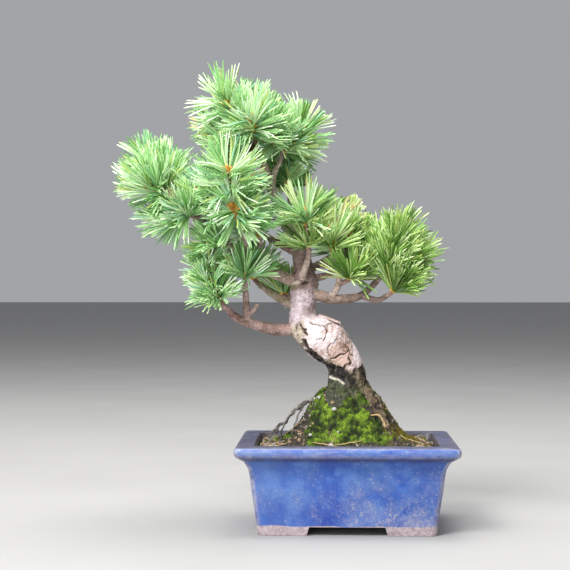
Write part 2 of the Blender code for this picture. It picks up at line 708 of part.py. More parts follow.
def make_foliage(parts, material, lines):
    """Every mass of foliage, one object each."""
    grown = {mass.name: grow_stem(mass, lines[mass.limb]) for mass in MASSES}
    tips = [tip for _, _, shoots in grown.values() for tip, _, _ in shoots]
    for mass in MASSES:
        stem, stem_radii, shoots = grown[mass.name]
        own_tips = [tip for tip, _, _ in shoots]
        others = np.array([tip for tip in tips if tip not in own_tips])
        obstacles = list(lines.values())
        for name, (path, radii, twigs) in grown.items():
            if name != mass.name:
                obstacles.append((path, radii))
                obstacles += [(twig, [TWIG_RADIUS] * len(twig)) for _, _, twig in twigs if twig]
        rng = random.Random(mass.seed * 100 + mass.shoots)
        pieces = []
        for tip, axis, twig in shoots:
            if twig:
                pieces.append(tube_mesh("twig", twig, [TWIG_RADIUS] * len(twig), TWIG_SIDES))
            tuft, needles = tuft_mesh("tuft", tip, axis, others, segment_table(obstacles), rng)
            pieces.append(tuft)
            obstacles += needles
        base = tube_mesh("stem", stem, stem_radii, STEM_SIDES)
        fuse(mass.name, base, pieces, parts, material)


def centre_on_origin(parts):
    """Moves the plant so that the origin is under the middle of its bounding box."""
    bpy.context.view_layer.update()
    graph = bpy.context.evaluated_depsgraph_get()
    low, high = Vector((1, 1, 1)), Vector((-1, -1, -1))
    for obj in parts.objects:
        shape = obj.evaluated_get(graph)
        for vert in shape.data.vertices:
            point = shape.matrix_world @ vert.co
            low = Vector(map(min, low, point))
            high = Vector(map(max, high, point))
    frame = bpy.data.objects.new("pot_centre", None)
    parts.objects.link(frame)
    for obj in [*parts.objects, *bpy.data.collections["cutters"].objects]:
        if obj != frame:
            obj.parent = frame
    frame.location = (-(low.x + high.x) / 2, -(low.y + high.y) / 2, 0)


def main():
    clear_scene()
    parts = make_collection("white_pine_bonsai")
    cutters = make_collection("cutters")
    looks = {name: make_material(name) for name in COLOURS}

    make_pot(parts, cutters, looks["glaze"])
    make_soil(parts, looks["soil"])
    moss = make_moss(parts, looks["moss"])
    trunk = add_object("trunk", trunk_mesh("trunk"), parts, looks["bark"])
    shade_round(trunk, 50)
    lines = make_limbs(parts, cutters, looks["twig_bark"])
    trunk_space = bpy.data.objects["trunk_space"]
    root_bed = make_exposed_root(parts, cutters, looks["root_bark"])
    add_boolean(moss, "DIFFERENCE", trunk_space)
    add_boolean(moss, "DIFFERENCE", root_bed)
    make_bark_plate(parts, trunk_space, looks["bark"])
    make_foliage(parts, looks["needles"], lines)
    centre_on_origin(parts)


main()
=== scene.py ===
"""The looks of a white pine bonsai in its glazed pot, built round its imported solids.

Metres, +Z up, and millimetres in what mm() is given. Every piece is worked out from the
centre of the pot's footprint, as the solids are, and its object then stands at that centre
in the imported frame.
"""

import json
import random
from collections import namedtuple
from math import atan2, cos, degrees, exp, floor, hypot, pi, radians, sin, sqrt, tau

import bmesh
import bpy
import numpy as np
from mathutils import Euler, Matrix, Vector, noise

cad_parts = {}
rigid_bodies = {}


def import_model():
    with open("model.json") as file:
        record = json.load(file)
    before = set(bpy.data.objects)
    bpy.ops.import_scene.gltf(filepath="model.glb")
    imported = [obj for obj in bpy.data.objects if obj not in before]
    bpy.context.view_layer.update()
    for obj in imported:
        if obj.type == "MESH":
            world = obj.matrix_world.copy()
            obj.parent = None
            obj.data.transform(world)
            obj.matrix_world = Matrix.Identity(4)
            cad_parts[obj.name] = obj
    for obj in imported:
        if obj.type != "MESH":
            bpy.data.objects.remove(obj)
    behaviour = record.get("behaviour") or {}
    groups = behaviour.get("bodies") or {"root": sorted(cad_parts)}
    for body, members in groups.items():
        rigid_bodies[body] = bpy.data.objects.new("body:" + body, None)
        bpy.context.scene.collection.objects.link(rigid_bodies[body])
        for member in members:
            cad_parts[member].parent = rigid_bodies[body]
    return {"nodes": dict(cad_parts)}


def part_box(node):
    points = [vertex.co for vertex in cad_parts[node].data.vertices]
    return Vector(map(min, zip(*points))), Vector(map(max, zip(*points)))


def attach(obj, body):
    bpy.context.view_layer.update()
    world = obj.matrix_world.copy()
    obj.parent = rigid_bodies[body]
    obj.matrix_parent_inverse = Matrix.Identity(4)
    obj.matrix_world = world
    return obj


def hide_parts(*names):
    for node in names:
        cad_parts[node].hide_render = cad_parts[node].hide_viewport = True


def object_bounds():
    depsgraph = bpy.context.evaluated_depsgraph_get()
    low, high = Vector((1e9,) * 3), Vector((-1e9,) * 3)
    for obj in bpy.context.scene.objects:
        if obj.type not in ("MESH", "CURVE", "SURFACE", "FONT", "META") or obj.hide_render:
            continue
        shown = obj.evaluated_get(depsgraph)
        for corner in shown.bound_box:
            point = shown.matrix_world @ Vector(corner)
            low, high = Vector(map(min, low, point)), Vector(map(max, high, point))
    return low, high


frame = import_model()
CAD_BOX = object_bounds()

POT_LOW, POT_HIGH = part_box("pot")
POT_CENTRE = Vector(((POT_LOW.x + POT_HIGH.x) / 2, (POT_LOW.y + POT_HIGH.y) / 2, 0))


def mm(sizes):
    """Millimetres, one number or tuples of them, as metres."""
    return tuple(map(mm, sizes)) if isinstance(sizes, (tuple, list)) else round(sizes / 1000, 7)


# Camera, from the pot's centre: level, a metre away, as the photograph was taken
CAMERA_PLACE = (-0.0094, -1.0834, 0.178)
CAMERA_YAW = 1.92
CAMERA_LENS = 92.2
SENSOR_WIDTH = 36
TREE_MIDDLE = Vector((-0.02, 0, 0.16))
FLOOR_SIZE = 14.0
FLOOR_DROP = 0.0002

# Pot
POT_HEIGHT = POT_HIGH.z
LIP_HALF_WIDTH = (POT_HIGH.x - POT_LOW.x) / 2
LIP_HALF_DEPTH = (POT_HIGH.y - POT_LOW.y) / 2
LIP_WIDTH = 0.014
POT_CORNER_RADIUS = 0.0045
FOOT_HEIGHT = 0.006
FOOT_ARM = 0.012
FRONT_GAP_HALF = 0.0295
SIDE_GAP_HALF = 0.02
GAP_SLOPE = 0.0025
# Each cut goes this much higher than the one before, so that no two end in one plane
GAP_STEP = 0.0002
FLOOR_TOP = 0.012
INNER_FLOOR_INSET = 0.021
DRAIN_RADIUS = 0.006
DRAIN_SIDES = 24
DRAIN_OFFSET = 0.03
# Height of the edge below the lip's band, where the glaze is thin
LIP_EDGE = 0.0572
# Height of the outer wall's sections, and how far each lies inside the lip's widest line
POT_PROFILE = mm((
    (0, 15.8), (10, 15), (22, 13.4), (33, 11.8), (45, 10.3), (50, 8.4), (53, 6.6), (55, 3.6),
    (57.2, 0.7), (60, 0), (62.5, 0.6), (64, 2.2),
))

# Soil and moss
CLEARANCE = 0.0003
SOIL_TOP = 0.054
MOUND_SHIFT = 0.0005
MOSS_LUMP = 0.0016
MOSS_SQUARENESS = 18
MOSS_SHARES = (1.0, 0.9, 0.8, 0.7, 0.615, 0.54, 0.46, 0.39, 0.31, 0.15)
MOSS_HEIGHTS = mm((57.5, 58.8, 61.8, 65.8, 70.8, 77.5, 86.2, 93.2, 98.8, 104))
MOSS_RINGS = 84
MOSS_SECTORS = 240
CUSHION_SCALE = 400
CUSHION_HEIGHT = 0.0009
MOSS_LEAVES = 24000
LEAF_FOOT = 0.0003
LEAF_LENGTHS = (0.001, 0.0021)
LEAF_LEAN = 0.45
LEAF_FACES = ((0, 1, 3), (1, 2, 3), (2, 0, 3), (0, 2, 1))
GRIT_STONES = 560
GRIT_SIZES = (0.0005, 0.0013)
GRIT_TOP = 0.098
# How often a stone is white, grey, tan or dark
GRIT_SHARES = (0.05, 0.25, 0.3, 0.4)
# A curled tan scrap on the right of the mound: x and z in the front view
SLIVER = mm(((18, 82.8), (22.5, 82.2), (26.2, 79), (27.8, 73.5)))
SLIVER_RADIUS = 0.0007
# Single stones that the photograph shows: x and z in the front view, radius and kind
PEBBLES = (
    ((-0.009, 0.0868), 0.0015, 0), ((-0.03, 0.0735), 0.0013, 1), ((-0.026, 0.069), 0.0012, 0),
)
LITTER_NEEDLES = 96
LITTER_LENGTHS = (0.01, 0.026)
LITTER_LIFT, LITTER_ARCH = 0.0007, 0.0012
LITTER_RADII = mm((0.25, 0.35, 0.4, 0.4, 0.4, 0.35, 0.25))

# Trunk: centre of each section, and its radius, up from the soil
TRUNK_SECTIONS = mm((
    ((4, 0, 54.3), 26), ((4, 0, 66), 22.2), ((3, 0, 80), 18.5), ((2, 0, 92), 16.3),
    ((0.8, 0, 104), 14.8), ((0, 0, 113.5), 13.2), ((-1, 0, 120), 12.6), ((-6.8, 0, 128), 13.7),
    ((-14, -1, 135), 16), ((-21, -1, 140.8), 15.6), ((-30, -1, 147), 12.2), ((-32.5, 0, 154), 10),
    ((-32.2, 0, 163.2), 9.4), ((-31.8, 0, 178), 10.3), ((-32.2, 1, 186), 8.6),
    ((-32.5, 1, 193), 7.2), ((-34.6, 2, 204), 6.2), ((-41.4, 4, 217.5), 5.1),
    ((-50.4, 5, 237.7), 4.2), ((-55.5, 4, 248.8), 3.7), ((-58.4, 2, 259.1), 3.1),
))
TRUNK_SPACING = 0.00055
TRUNK_SIDES = 168
# The bark's relief fades to nothing over this length at the trunk's top
TRUNK_TAPER = 0.0015
FLARE_SIDES = 64
# Surface roots: direction round the trunk in degrees, and how far each swells at the ground
ROOTS = ((0, 0.72), (78, 0.34), (141, 0.4), (205, 0.42), (262, 0.3), (312, 0.38))
ROOT_SPREAD = 24
ROOT_TOP = 0.108

# A thin root that stands out of the moss, and a loose plate of bark on the trunk's shoulder
ROOT_RADII = mm((1.4, 0.9))
ROOT_PATH = mm((
    (-22.5, -3, 93), (-27.5, -4, 92.5), (-38.4, -6, 85.3), (-45.6, -7, 77.2), (-51.7, -7, 72.7),
    (-50.6, -7, 66), (-49, -6, 62), (-48, -6, 57),
))
# Thinner roots beside it: the radius at either end, and the path
ROOTLETS = mm((
    (0.7, 0.4, (
        (-36, -6, 87.2), (-43.2, -9, 80), (-47, -9, 72.8), (-48.2, -8, 64), (-47.8, -8, 58))),
    (0.8, 0.4, (
        (-30, -5, 91.5), (-34.8, -10, 83.5), (-38.5, -12, 75), (-40, -13, 68), (-41, -13, 60))),
    (0.6, 0.4, ((-51.7, -7, 72.7), (-55.2, -9, 69), (-56, -10, 63), (-56.6, -10, 57.5))),
))
PLATE_PATH = mm(((-20.3, -3, 155.5), (-16, -4, 154.2), (-10.5, -5, 152.3), (-4.5, -5, 149.8)))
PLATE_HALF_WIDTHS = mm((2.8, 5, 4.6, 2.2))
PLATE_HALF_THICKNESS = 0.0009
PLATE_SIDES = 28

# The heavy root on the right of the mound: its direction in degrees, and its radii downward
FLARE_DIRECTION = -32
FLARE_RADII = mm((8.5, 8.2, 6.8, 5.4, 4.2, 3.1, 1.8))

# Limbs
CURVE_STEPS = 8
LIMB_SPACING = 0.0006
LIMB_SIDES = 22
COLLAR = 0.3
COLLAR_LENGTH = 0.006
CUT_ROUNDING = 0.0012
# Bark lies thinner on a limb that is thinner than this
FULL_BARK_RADIUS = 0.0026

Limb = namedtuple("Limb", "name parent base_radius tip_radius path")
LIMBS = [Limb(name, parent, *mm(sizes)) for name, parent, *sizes in (
    ("low_left_bough", "trunk", 5, 2.2, (
        (-32.4, 0, 146.1), (-51.5, -5, 144.7), (-62.4, -9, 147.4), (-73.2, -13, 150.8),
        (-81, -17, 154.6), (-87.5, -21, 160.5))),
    ("left_upright_twig", "low_left_bough", 2.5, 1.9, (
        (-73.5, -13.1, 151), (-73.9, -14, 167), (-74.5, -16, 180))),
    ("pruned_stub", "left_upright_twig", 1.8, 1.5, (
        (-73.8, -13.3, 155.5), (-69.5, -11, 158.5), (-65.4, -8, 164))),
    ("lichen_bough", "trunk", 3.4, 1.9, (
        (-32.6, 0, 160), (-46.6, 4, 166.1), (-55.7, 8, 171.3), (-66, 13, 179))),
    ("left_bough", "trunk", 4.8, 2.1, (
        (-32, 0, 177.5), (-46.4, -3, 183.9), (-56.6, -6, 188), (-67.5, -10, 193.5),
        (-78.3, -14, 200), (-87, -19, 206.5))),
    ("left_riser", "left_bough", 2.4, 1.8, (
        (-61, -7.5, 190), (-62, -12, 201), (-63.4, -16, 208))),
    ("far_left_bough", "left_bough", 2.7, 1.9, (
        (-75, -12.8, 198), (-91.7, -12, 214), (-105.5, -14, 227.9), (-123, -16, 239.5))),
    ("left_fork_twig", "far_left_bough", 2, 1.7, (
        (-97, -12.6, 219.5), (-104, -18, 224), (-108.5, -21, 226.5))),
    ("front_left_bough", "left_bough", 2.9, 2, (
        (-69, -10.5, 194.5), (-72.5, -22, 205), (-75.5, -31, 215))),
    ("front_twig", "trunk", 2.6, 2, (
        (-32.2, -1, 180), (-32.5, -10, 185), (-29.9, -13.5, 191.5), (-28.5, -14, 196.5))),
    ("right_low_bough", "trunk", 4.4, 2, (
        (-31.8, 0, 173.5), (-13.8, -5, 168.4), (-4.9, -7, 167.7), (4.6, -9, 168.4),
        (11.2, -9, 170.6), (17.1, -9, 175.8), (22.5, -10, 181))),
    ("right_low_twig", "right_low_bough", 2.2, 1.8, (
        (10.5, -9, 170.2), (22.1, -13, 167), (29, -15, 170))),
    ("right_mid_bough", "trunk", 3, 2, (
        (-32, 1, 181.5), (-15.3, 4, 185.1), (-7.9, 6, 190.7), (-2.7, 6, 200))),
    ("pale_twig", "right_low_bough", 2.2, 1.7, (
        (-11.6, -5.5, 168.2), (-6.4, -11, 177.3), (-6.2, -12, 186), (-8.5, -11, 196))),
    ("inner_right_twig", "pale_twig", 1.7, 1.5, (
        (-6.4, -11.5, 178.5), (0, -13.5, 180.8))),
    ("upper_right_bough", "trunk", 2.4, 1.8, (
        (-56, 3.5, 250.5), (-53.5, 5, 262), (-50, 6, 269))),
    ("back_low_bough", "trunk", 3.8, 2.1, (
        (-32.2, 0, 169), (-37, 14, 170.5), (-44, 26, 169))),
    ("back_right_bough", "trunk", 3.6, 2.1, (
        (-32.2, 1, 187), (-22, 16, 193), (-13, 30, 198.5))),
    ("back_far_right_twig", "back_right_bough", 2.4, 1.8, (
        (-21.5, 16.5, 193.3), (-5, 24, 193), (9, 29, 196))),
    ("back_left_bough", "trunk", 3.4, 2.1, (
        (-34, 2, 201), (-50, 15, 209), (-68, 25, 218))),
    ("back_high_bough", "trunk", 2.8, 1.9, (
        (-44, 4.5, 224), (-42, 16, 236), (-43, 25, 248))),
)]
# Limbs with brown bark, darkened as painted shade. How much lichen lies on a limb, and how pale it is,
# where unusual
BROWN_AND_SHADED_LIMBS = ("right_low_bough", "right_low_twig", "right_mid_bough", "back_right_bough")
LICHEN = {"lichen_bough": 0.5, "low_left_bough": 0.1, "left_bough": 0.12, "pale_twig": 0.15}
# Paleness is partly the bark's own and partly painted light on limbs that the foliage shades
PALENESS_AND_LIGHT = {
    "low_left_bough": 0.04, "left_upright_twig": 0.15, "pruned_stub": 0.35, "lichen_bough": 0.3,
    "front_twig": 0.65, "pale_twig": 0.45, "inner_right_twig": 0.2, "left_bough": 0.4,
    "left_riser": 0.45, "front_left_bough": 0.5, "upper_right_bough": 0.8,
}

# Foliage: each mass is a group of shoots spread over an ellipsoid round its centre, both in
# millimetres. Its lean is how far the shoots turn sideways and to the front, towards the light
# they grew in. Its habit is a share of the needles' length, the angles in degrees between which
# they leave a shoot, and how far the mass's colours turn to the pale ones
# A mass's sunlit share is painted light: it deals out more of the pale needle colours
Habit = namedtuple("Habit", "length narrow wide sunlit")
USUAL_HABIT = Habit(1.0, 20, 76, 0.15)
Mass = namedtuple("Mass", "name limb shoots seed centre spread lean habit",
                  defaults=((0, 0, 0), (0, 0), USUAL_HABIT))
MASSES = (
    Mass("apex_left", "trunk", 5, 6067, (-82, -6, 301), (18, 28, 18),
         (-0.2, 1.1), Habit(0.97, 26, 82, 0.6)),
    Mass("apex_right", "upper_right_bough", 4, 11892, (-49, 9, 291), (17, 25, 19),
         (0.25, 1.0), Habit(0.95, 24, 80, 0.4)),
    Mass("far_left", "far_left_bough", 3, 1147, (-142, -4, 258), (8, 25, 13),
         (-0.55, 0.5), Habit(1.0, 24, 78, 0.0)),
    Mass("left_fork", "left_fork_twig", 2, 63, (-123, -15, 230), (15, 15, 3),
         (-1.0, 0.7), Habit(0.95, 24, 72, 0.1)),
    Mass("front_left", "front_left_bough", 4, 6622, (-85, -25, 248), (23, 17, 16),
         (-0.15, 2.2), Habit(1.0, 36, 92, 0.3)),
    Mass("left_tip", "left_bough", 1, 1, (-98, -20, 209), lean=(-1.3, 0.3)),
    Mass("left_riser", "left_riser", 1, 1, (-71, -18, 220)),
    Mass("low_left", "low_left_bough", 3, 2188, (-98, -22, 180), (8, 8, 26),
         habit=Habit(0.74, 30, 84, 0.6)),
    Mass("left_upright", "left_upright_twig", 1, 1, (-76, -17, 188), lean=(0.45, 0.3)),
    Mass("lichen_bough", "lichen_bough", 1, 1, (-73, 17, 191)),
    Mass("front_centre", "front_twig", 2, 105, (-30, -17, 217), (5, 3, 13),
         (0.1, 0.7), Habit(1.0, 30, 84, 0.45)),
    Mass("right_mid", "right_mid_bough", 2, 14, (1, 9, 223), (5, 12, 14),
         habit=Habit(0.97, 24, 80, 0.55)),
    Mass("pale_twig", "pale_twig", 1, 1, (-13, -10, 217), lean=(0.1, 0.8),
         habit=Habit(1.0, 24, 80, 0.45)),
    Mass("inner_right", "inner_right_twig", 1, 1, (5, -16, 186), lean=(0.0, 0.4)),
    Mass("far_right", "right_low_bough", 4, 9739, (35, -3, 203), (18, 12, 11),
         (0.4, 0.5), Habit(0.95, 22, 76, 0.1)),
    Mass("right_low", "right_low_twig", 1, 1, (37, -18, 180), lean=(0.65, 0.4),
         habit=Habit(0.97, 22, 62, 0.1)),
    Mass("back_low", "back_low_bough", 2, 1, (-52, 40, 176), (14, 6, 4),
         habit=Habit(0.72, 16, 56, 0.0)),
    Mass("back_right", "back_right_bough", 2, 1, (-6, 45, 211), (12, 6, 8)),
    Mass("back_far_right", "back_far_right_twig", 2, 1, (26, 38, 201), (12, 5, 8)),
    Mass("back_left", "back_left_bough", 3, 1, (-88, 34, 231), (16, 10, 10)),
    Mass("back_high", "back_high_bough", 3, 1, (-47, 39, 262), (15, 8, 12),
         habit=Habit(0.62, 20, 70, 0.0)),
)
GOLDEN_ANGLE = pi * (3 - sqrt(5))
STEM_STRAIGHT = 0.0012
TWIG_RADIUS = 0.0011
TWIG_LIFT = 0.8
TWIG_SPACING = 0.0007

# Buds: a main one and a few small ones round it, in rows of scales
BUD_LENGTHS = (0.007, 0.009)
SMALL_BUD_LENGTHS = (0.0048, 0.0062)
BUD_GIRTH, SMALL_BUD_GIRTH = 0.23, 0.26
SMALL_BUD_LEAN = 0.55
BUD_ROWS = 12
BUD_SIDES = 10

# Needles: bundles of five out of one sheath, thick along the end of every shoot
BUNDLES = 58
BUNDLE_NEEDLES = 5
TUFT_DEPTH = 0.017
TUFT_START = 0.0015
NEEDLE_RISE = 0.14
NEEDLE_LENGTH = 0.0325
# Share of that length that a bundle of needles has
LENGTH_SPREAD = (0.8, 1.03)
NEEDLE_WIDTH = 0.00112
NEEDLE_LEVELS = (0.0, 0.28, 0.6, 0.93)
NEEDLE_GIRTHS = (0.75, 1.0, 1.0, 0.85)
BUNDLE_SPREAD = (0.02, 0.16)
BUNDLE_CURVE = 0.26
NEEDLE_CURVE = 0.11
OWN_SPACE = 0.01
SHORTER = (1.0, 0.88, 0.76, 0.64)
SHEATH_LENGTHS = (0.0095, 0.0028)
SHEATH_RADIUS = 0.0012
SHEATH_FOOT = 0.0006
# Shares of a sheath's length, and its girth at each
SHEATH_PROFILE = ((0.12, 0.9), (0.7, 0.85))
WITHERED_SHARE, BLUE_SHARE, SPRING_SHARE = 0.007, 0.16, 0.13
BOX_MARGIN = 0.001

# The vector noise is seeded from the clock unless it is given a seed
NOISE_SEED = 8


def smoothstep(value, low, high):
    share = min(1.0, max(0.0, (value - low) / (high - low)))
    return share * share * (3 - 2 * share)


def blend(first, second, share):
    return [a + (b - a) * share for a, b in zip(first, second)]


# Materials

def feed(socket, value):
    """Gives a shader's socket a plain value, a colour or what another node puts out."""
    if isinstance(value, Field):
        value.tree.links.new(value.socket, socket)
    elif socket.type == "RGBA":
        socket.default_value = (*value, 1)
    else:
        socket.default_value = value


def add_node(tree, kind, output, **values):
    """One output of a new shader node, whose named sockets take the values."""
    made = tree.nodes.new("ShaderNode" + kind)
    for name, value in values.items():
        feed(made.inputs[name.replace("_", " ")], value)
    return Field(tree, made.outputs[output])


class Field:
    """What a shader node puts out over a surface: numbers, places or colours."""

    def __init__(self, tree, socket):
        self.tree = tree
        self.socket = socket

    def reckon(self, operation, other):
        made = self.tree.nodes.new("ShaderNodeMath")
        made.operation = operation
        feed(made.inputs[0], self)
        feed(made.inputs[1], other)
        return Field(self.tree, made.outputs[0])

    def __add__(self, other):
        return self.reckon("ADD", other)

    def __mul__(self, other):
        return self.reckon("MULTIPLY", other)

    def __or__(self, other):
        """The greater of the two."""
        return self.reckon("MAXIMUM", other)

    def remap(self, low, high, to_low=0.0, to_high=1.0):
        return add_node(self.tree, "MapRange", "Result", Value=self, From_Min=low, From_Max=high,
                        To_Min=to_low, To_Max=to_high)

    def stretch(self, *scale):
        return add_node(self.tree, "Mapping", "Vector", Vector=self, Scale=scale)

    def noise(self, scale, detail=3.0, roughness=0.55):
        return add_node(self.tree, "TexNoise", "Fac", Vector=self, Scale=scale, Detail=detail,
                        Roughness=roughness)

    def under(self, share, colour, blend="MIX"):
        """This colour with a share of another laid over it."""
        made = self.tree.nodes.new("ShaderNodeMix")
        made.data_type = "RGBA"
        made.blend_type = blend
        for number, value in ((0, share), (6, self), (7, colour)):
            feed(made.inputs[number], value)
        return Field(self.tree, made.outputs[2])

    def ramp(self, *stops):
        """A colour for each number, from stops that pair a number with a colour."""
        made = self.tree.nodes.new("ShaderNodeValToRGB")
        feed(made.inputs["Fac"], self)
        elements = made.color_ramp.elements
        while len(elements) < len(stops):
            elements.new(0.5)
        for element, (place, colour) in zip(elements, stops):
            element.position = place
            element.color = (*colour, 1)
        return Field(self.tree, made.outputs["Color"])


def new_look(name, colour, roughness):
    """A material with one Principled shader. Returns it and the shader's sockets."""
    material = bpy.data.materials.new(name)
    material.use_nodes = True
    material.diffuse_color = (*colour, 1)
    sockets = material.node_tree.nodes["Principled BSDF"].inputs
    feed(sockets["Base Color"], colour)
    feed(sockets["Roughness"], roughness)
    return material, sockets


def object_place(material):
    return add_node(material.node_tree, "TexCoord", "Object")


def mesh_field(tree, name, output="Fac"):
    """What the mesh keeps at its points under a name."""
    made = tree.nodes.new("ShaderNodeAttribute")
    made.attribute_name = name
    return Field(tree, made.outputs[output])


def add_bump(sockets, height, depth, strength=1.0):
    feed(sockets["Normal"], add_node(height.tree, "Bump", "Normal", Height=height, Distance=depth,
                                     Strength=strength))


def glaze_look():
    """Blue glaze, mottled, thin and pale on its edges, scaled with lime, over pink clay, with painted
    light and shade.
    """
    material, sockets = new_look("blue_glaze", (0.06, 0.13, 0.4), 0.3)
    place = object_place(material)
    side, height = (add_node(place.tree, "SeparateXYZ", axis, Vector=place) for axis in "XZ")
    blue = place.noise(40, 8, 0.7).ramp(
        (0.38, (0.003, 0.036, 0.29)), (0.5, (0.009, 0.07, 0.365)), (0.61, (0.058, 0.148, 0.45)))
    blue = blue.under(place.noise(24, 6, 0.66).remap(0.46, 0.68) * 0.65, (0.072, 0.158, 0.375))
    streaks = place.stretch(1.0, 1.0, 0.16).noise(260, 3, 0.6).remap(0.52, 0.75)
    blue = blue.under(streaks * 0.22, (0.13, 0.215, 0.46))
    # Painted light: the glaze is painted paler on the left and darker on the right, as the light falls
    # off across the pot
    blue = blue.under(side.remap(0.01, -0.06, 0.0, 0.24), (0.155, 0.245, 0.5))
    blue = blue.under(side.remap(0.02, 0.075, 0.0, 0.4), (0.006, 0.048, 0.27))

    grown = height.remap(0.048, 0.008) * side.remap(-0.045, 0.045, 0.3, 1.0)
    cloud = place.noise(48, 4, 0.6).remap(0.38, 0.66)
    crust = grown * 0.085 + cloud * 0.07
    scale = (place.noise(430, 9, 0.85) + crust).remap(0.618, 0.668) * 0.78
    specks = place.noise(1100, 2, 0.5) + crust
    dust = specks.remap(0.7, 0.78) * crust.remap(0.035, 0.095, 0.1, 0.6)
    lime = scale | (grown * cloud * 0.34) | dust
    colour = blue.under(lime, (0.37, 0.345, 0.42))
    patches = place.stretch(0.35, 0.35, 1.6).noise(190, 5, 0.72).remap(0.4, 0.64, 0.04, 0.5)
    colour = colour.under(height.remap(0.0575, 0.059) * patches, (0.3, 0.32, 0.43))

    # Painted shade: a dark band under the lip's overhang
    below_lip = height.remap(0.052, 0.0548) * height.remap(0.058, 0.0562)
    under_lip_shade = below_lip * place.noise(150, 4, 0.6).remap(0.3, 0.62, 0.25, 0.8)
    colour = colour.under(under_lip_shade, (0.075, 0.055, 0.07))
    worn = place.noise(130, 5, 0.7).remap(0.34, 0.58, 0.25, 1.0)
    thin = mesh_field(place.tree, "edge") * worn
    colour = colour.under(thin, place.noise(210, 5, 0.7).ramp(
        (0.36, (0.13, 0.095, 0.1)), (0.5, (0.33, 0.31, 0.38)), (0.66, (0.48, 0.45, 0.52))))
    # The rim's top is darkened: partly a stain, partly painted shade
    stain_and_shade = height.remap(0.0626, 0.0636) * place.noise(90, 6, 0.72).remap(0.36, 0.62, 0.7, 0.97)
    colour = colour.under(stain_and_shade, (0.075, 0.072, 0.095))
    dirt = place.noise(160, 5, 0.7).remap(0.3, 0.55, 0.7, 1.0)
    colour = colour.under(mesh_field(place.tree, "inner") * dirt, (0.055, 0.04, 0.034))

    bare = (height + place.noise(70, 5, 0.7) * 0.004).remap(0.009, 0.0082)
    colour = colour.under(bare, place.noise(300, 6, 0.75).ramp(
        (0.34, (0.2, 0.15, 0.155)), (0.5, (0.38, 0.31, 0.335)), (0.66, (0.52, 0.45, 0.48))))
    dull = lime | thin | bare | stain_and_shade
    feed(sockets["Base Color"], colour)
    feed(sockets["Roughness"], dull.remap(0, 1, 0.24, 0.74))
    feed(sockets["Specular IOR Level"], stain_and_shade.remap(0, 1, 0.5, 0.08))
    add_bump(sockets, place.noise(420, 4, 0.6) + lime * 0.5, 0.00022, 0.6)
    return material


def soil_look():
    material, sockets = new_look("potting_soil", (0.05, 0.035, 0.02), 0.95)
    place = object_place(material)
    kinds, grains = (add_node(place.tree, "TexVoronoi", output, Vector=place, Scale=520)
                     for output in ("Color", "Distance"))
    feed(sockets["Base Color"], kinds.ramp(
        (0.2, (0.018, 0.012, 0.008)), (0.55, (0.06, 0.04, 0.024)), (0.85, (0.17, 0.13, 0.09))))
    add_bump(sockets, grains, 0.0008)
    return material


def painted_look(name, attribute, roughness, scale, depth):
    """A surface whose broad colour lies in its mesh, broken up by a fine grain."""
    material, sockets = new_look(name, (0.3, 0.25, 0.2), roughness)
    place = object_place(material)
    grain = place.noise(scale, 5, 0.65)
    shade = grain.remap(0.3, 0.7, 0.62, 1.3)
    tone = add_node(place.tree, "CombineXYZ", "Vector", X=shade, Y=shade, Z=shade)
    paint = mesh_field(place.tree, attribute, "Color")
    feed(sockets["Base Color"], paint.under(1.0, tone, "MULTIPLY"))
    feed(sockets["Roughness"], grain.remap(0.3, 0.7, roughness - 0.08, min(1.0, roughness + 0.08)))
    add_bump(sockets, grain, depth, 0.7)
    return material


def leaf_looks(colours, roughness=0.48, gloss=0.45):
    """Plain base colours with a waxy gloss, one for each kind of needle, leaf or stone."""
    looks = []
    for name, colour in colours.items():
        material, sockets = new_look(name, colour, roughness)
        feed(sockets["Specular IOR Level"], gloss)
        feed(sockets["Coat Weight"], gloss * 0.18)
        looks.append(material)
    return looks


def floor_look():
    material, sockets = new_look("pale_floor", (0.33, 0.326, 0.32), 0.8)
    tint = object_place(material).noise(6, 4)
    feed(sockets["Base Color"], tint.ramp((0.35, (0.32, 0.316, 0.31)), (0.65, (0.34, 0.336, 0.33))))
    return material


NEEDLE_COLOURS = {
    "needle_cool_deep": (0.14, 0.315, 0.09),
    "needle_cool_mid": (0.31, 0.58, 0.22),
    "needle_cool_light": (0.58, 0.82, 0.43),
    "needle_cool_band": (0.75, 0.895, 0.66),
    "needle_warm_deep": (0.095, 0.205, 0.032),
    "needle_warm_mid": (0.24, 0.43, 0.095),
    "needle_warm_light": (0.49, 0.65, 0.25),
    "needle_warm_band": (0.72, 0.84, 0.5),
    "needle_blue": (0.27, 0.54, 0.34),
    "needle_spring": (0.5, 0.6, 0.16),
    "needle_withered": (0.6, 0.45, 0.23),
}
BUD_COLOUR = (0.64, 0.27, 0.06)
SHEATH_COLOUR = (0.78, 0.4, 0.09)
COOL = tuple(name for name in NEEDLE_COLOURS if name.startswith("needle_cool"))
NEEDLE_KINDS = tuple(NEEDLE_COLOURS)
MOSS_COLOURS = {
    "moss_bright": (0.3, 0.44, 0.04),
    "moss_green": (0.09, 0.175, 0.012),
    "moss_olive": (0.17, 0.125, 0.018),
    "moss_dark": (0.018, 0.03, 0.003),
}
GRIT_COLOURS = {
    "grit_white": (0.42, 0.41, 0.38),
    "grit_grey": (0.16, 0.155, 0.14),
    "grit_tan": (0.3, 0.21, 0.12),
    "grit_dark": (0.045, 0.038, 0.03),
}
LITTER_COLOURS = {
    "litter_pink": (0.43, 0.27, 0.19),
    "litter_tan": (0.48, 0.34, 0.16),
    "litter_grey": (0.33, 0.3, 0.26),
}


# Meshes from arrays

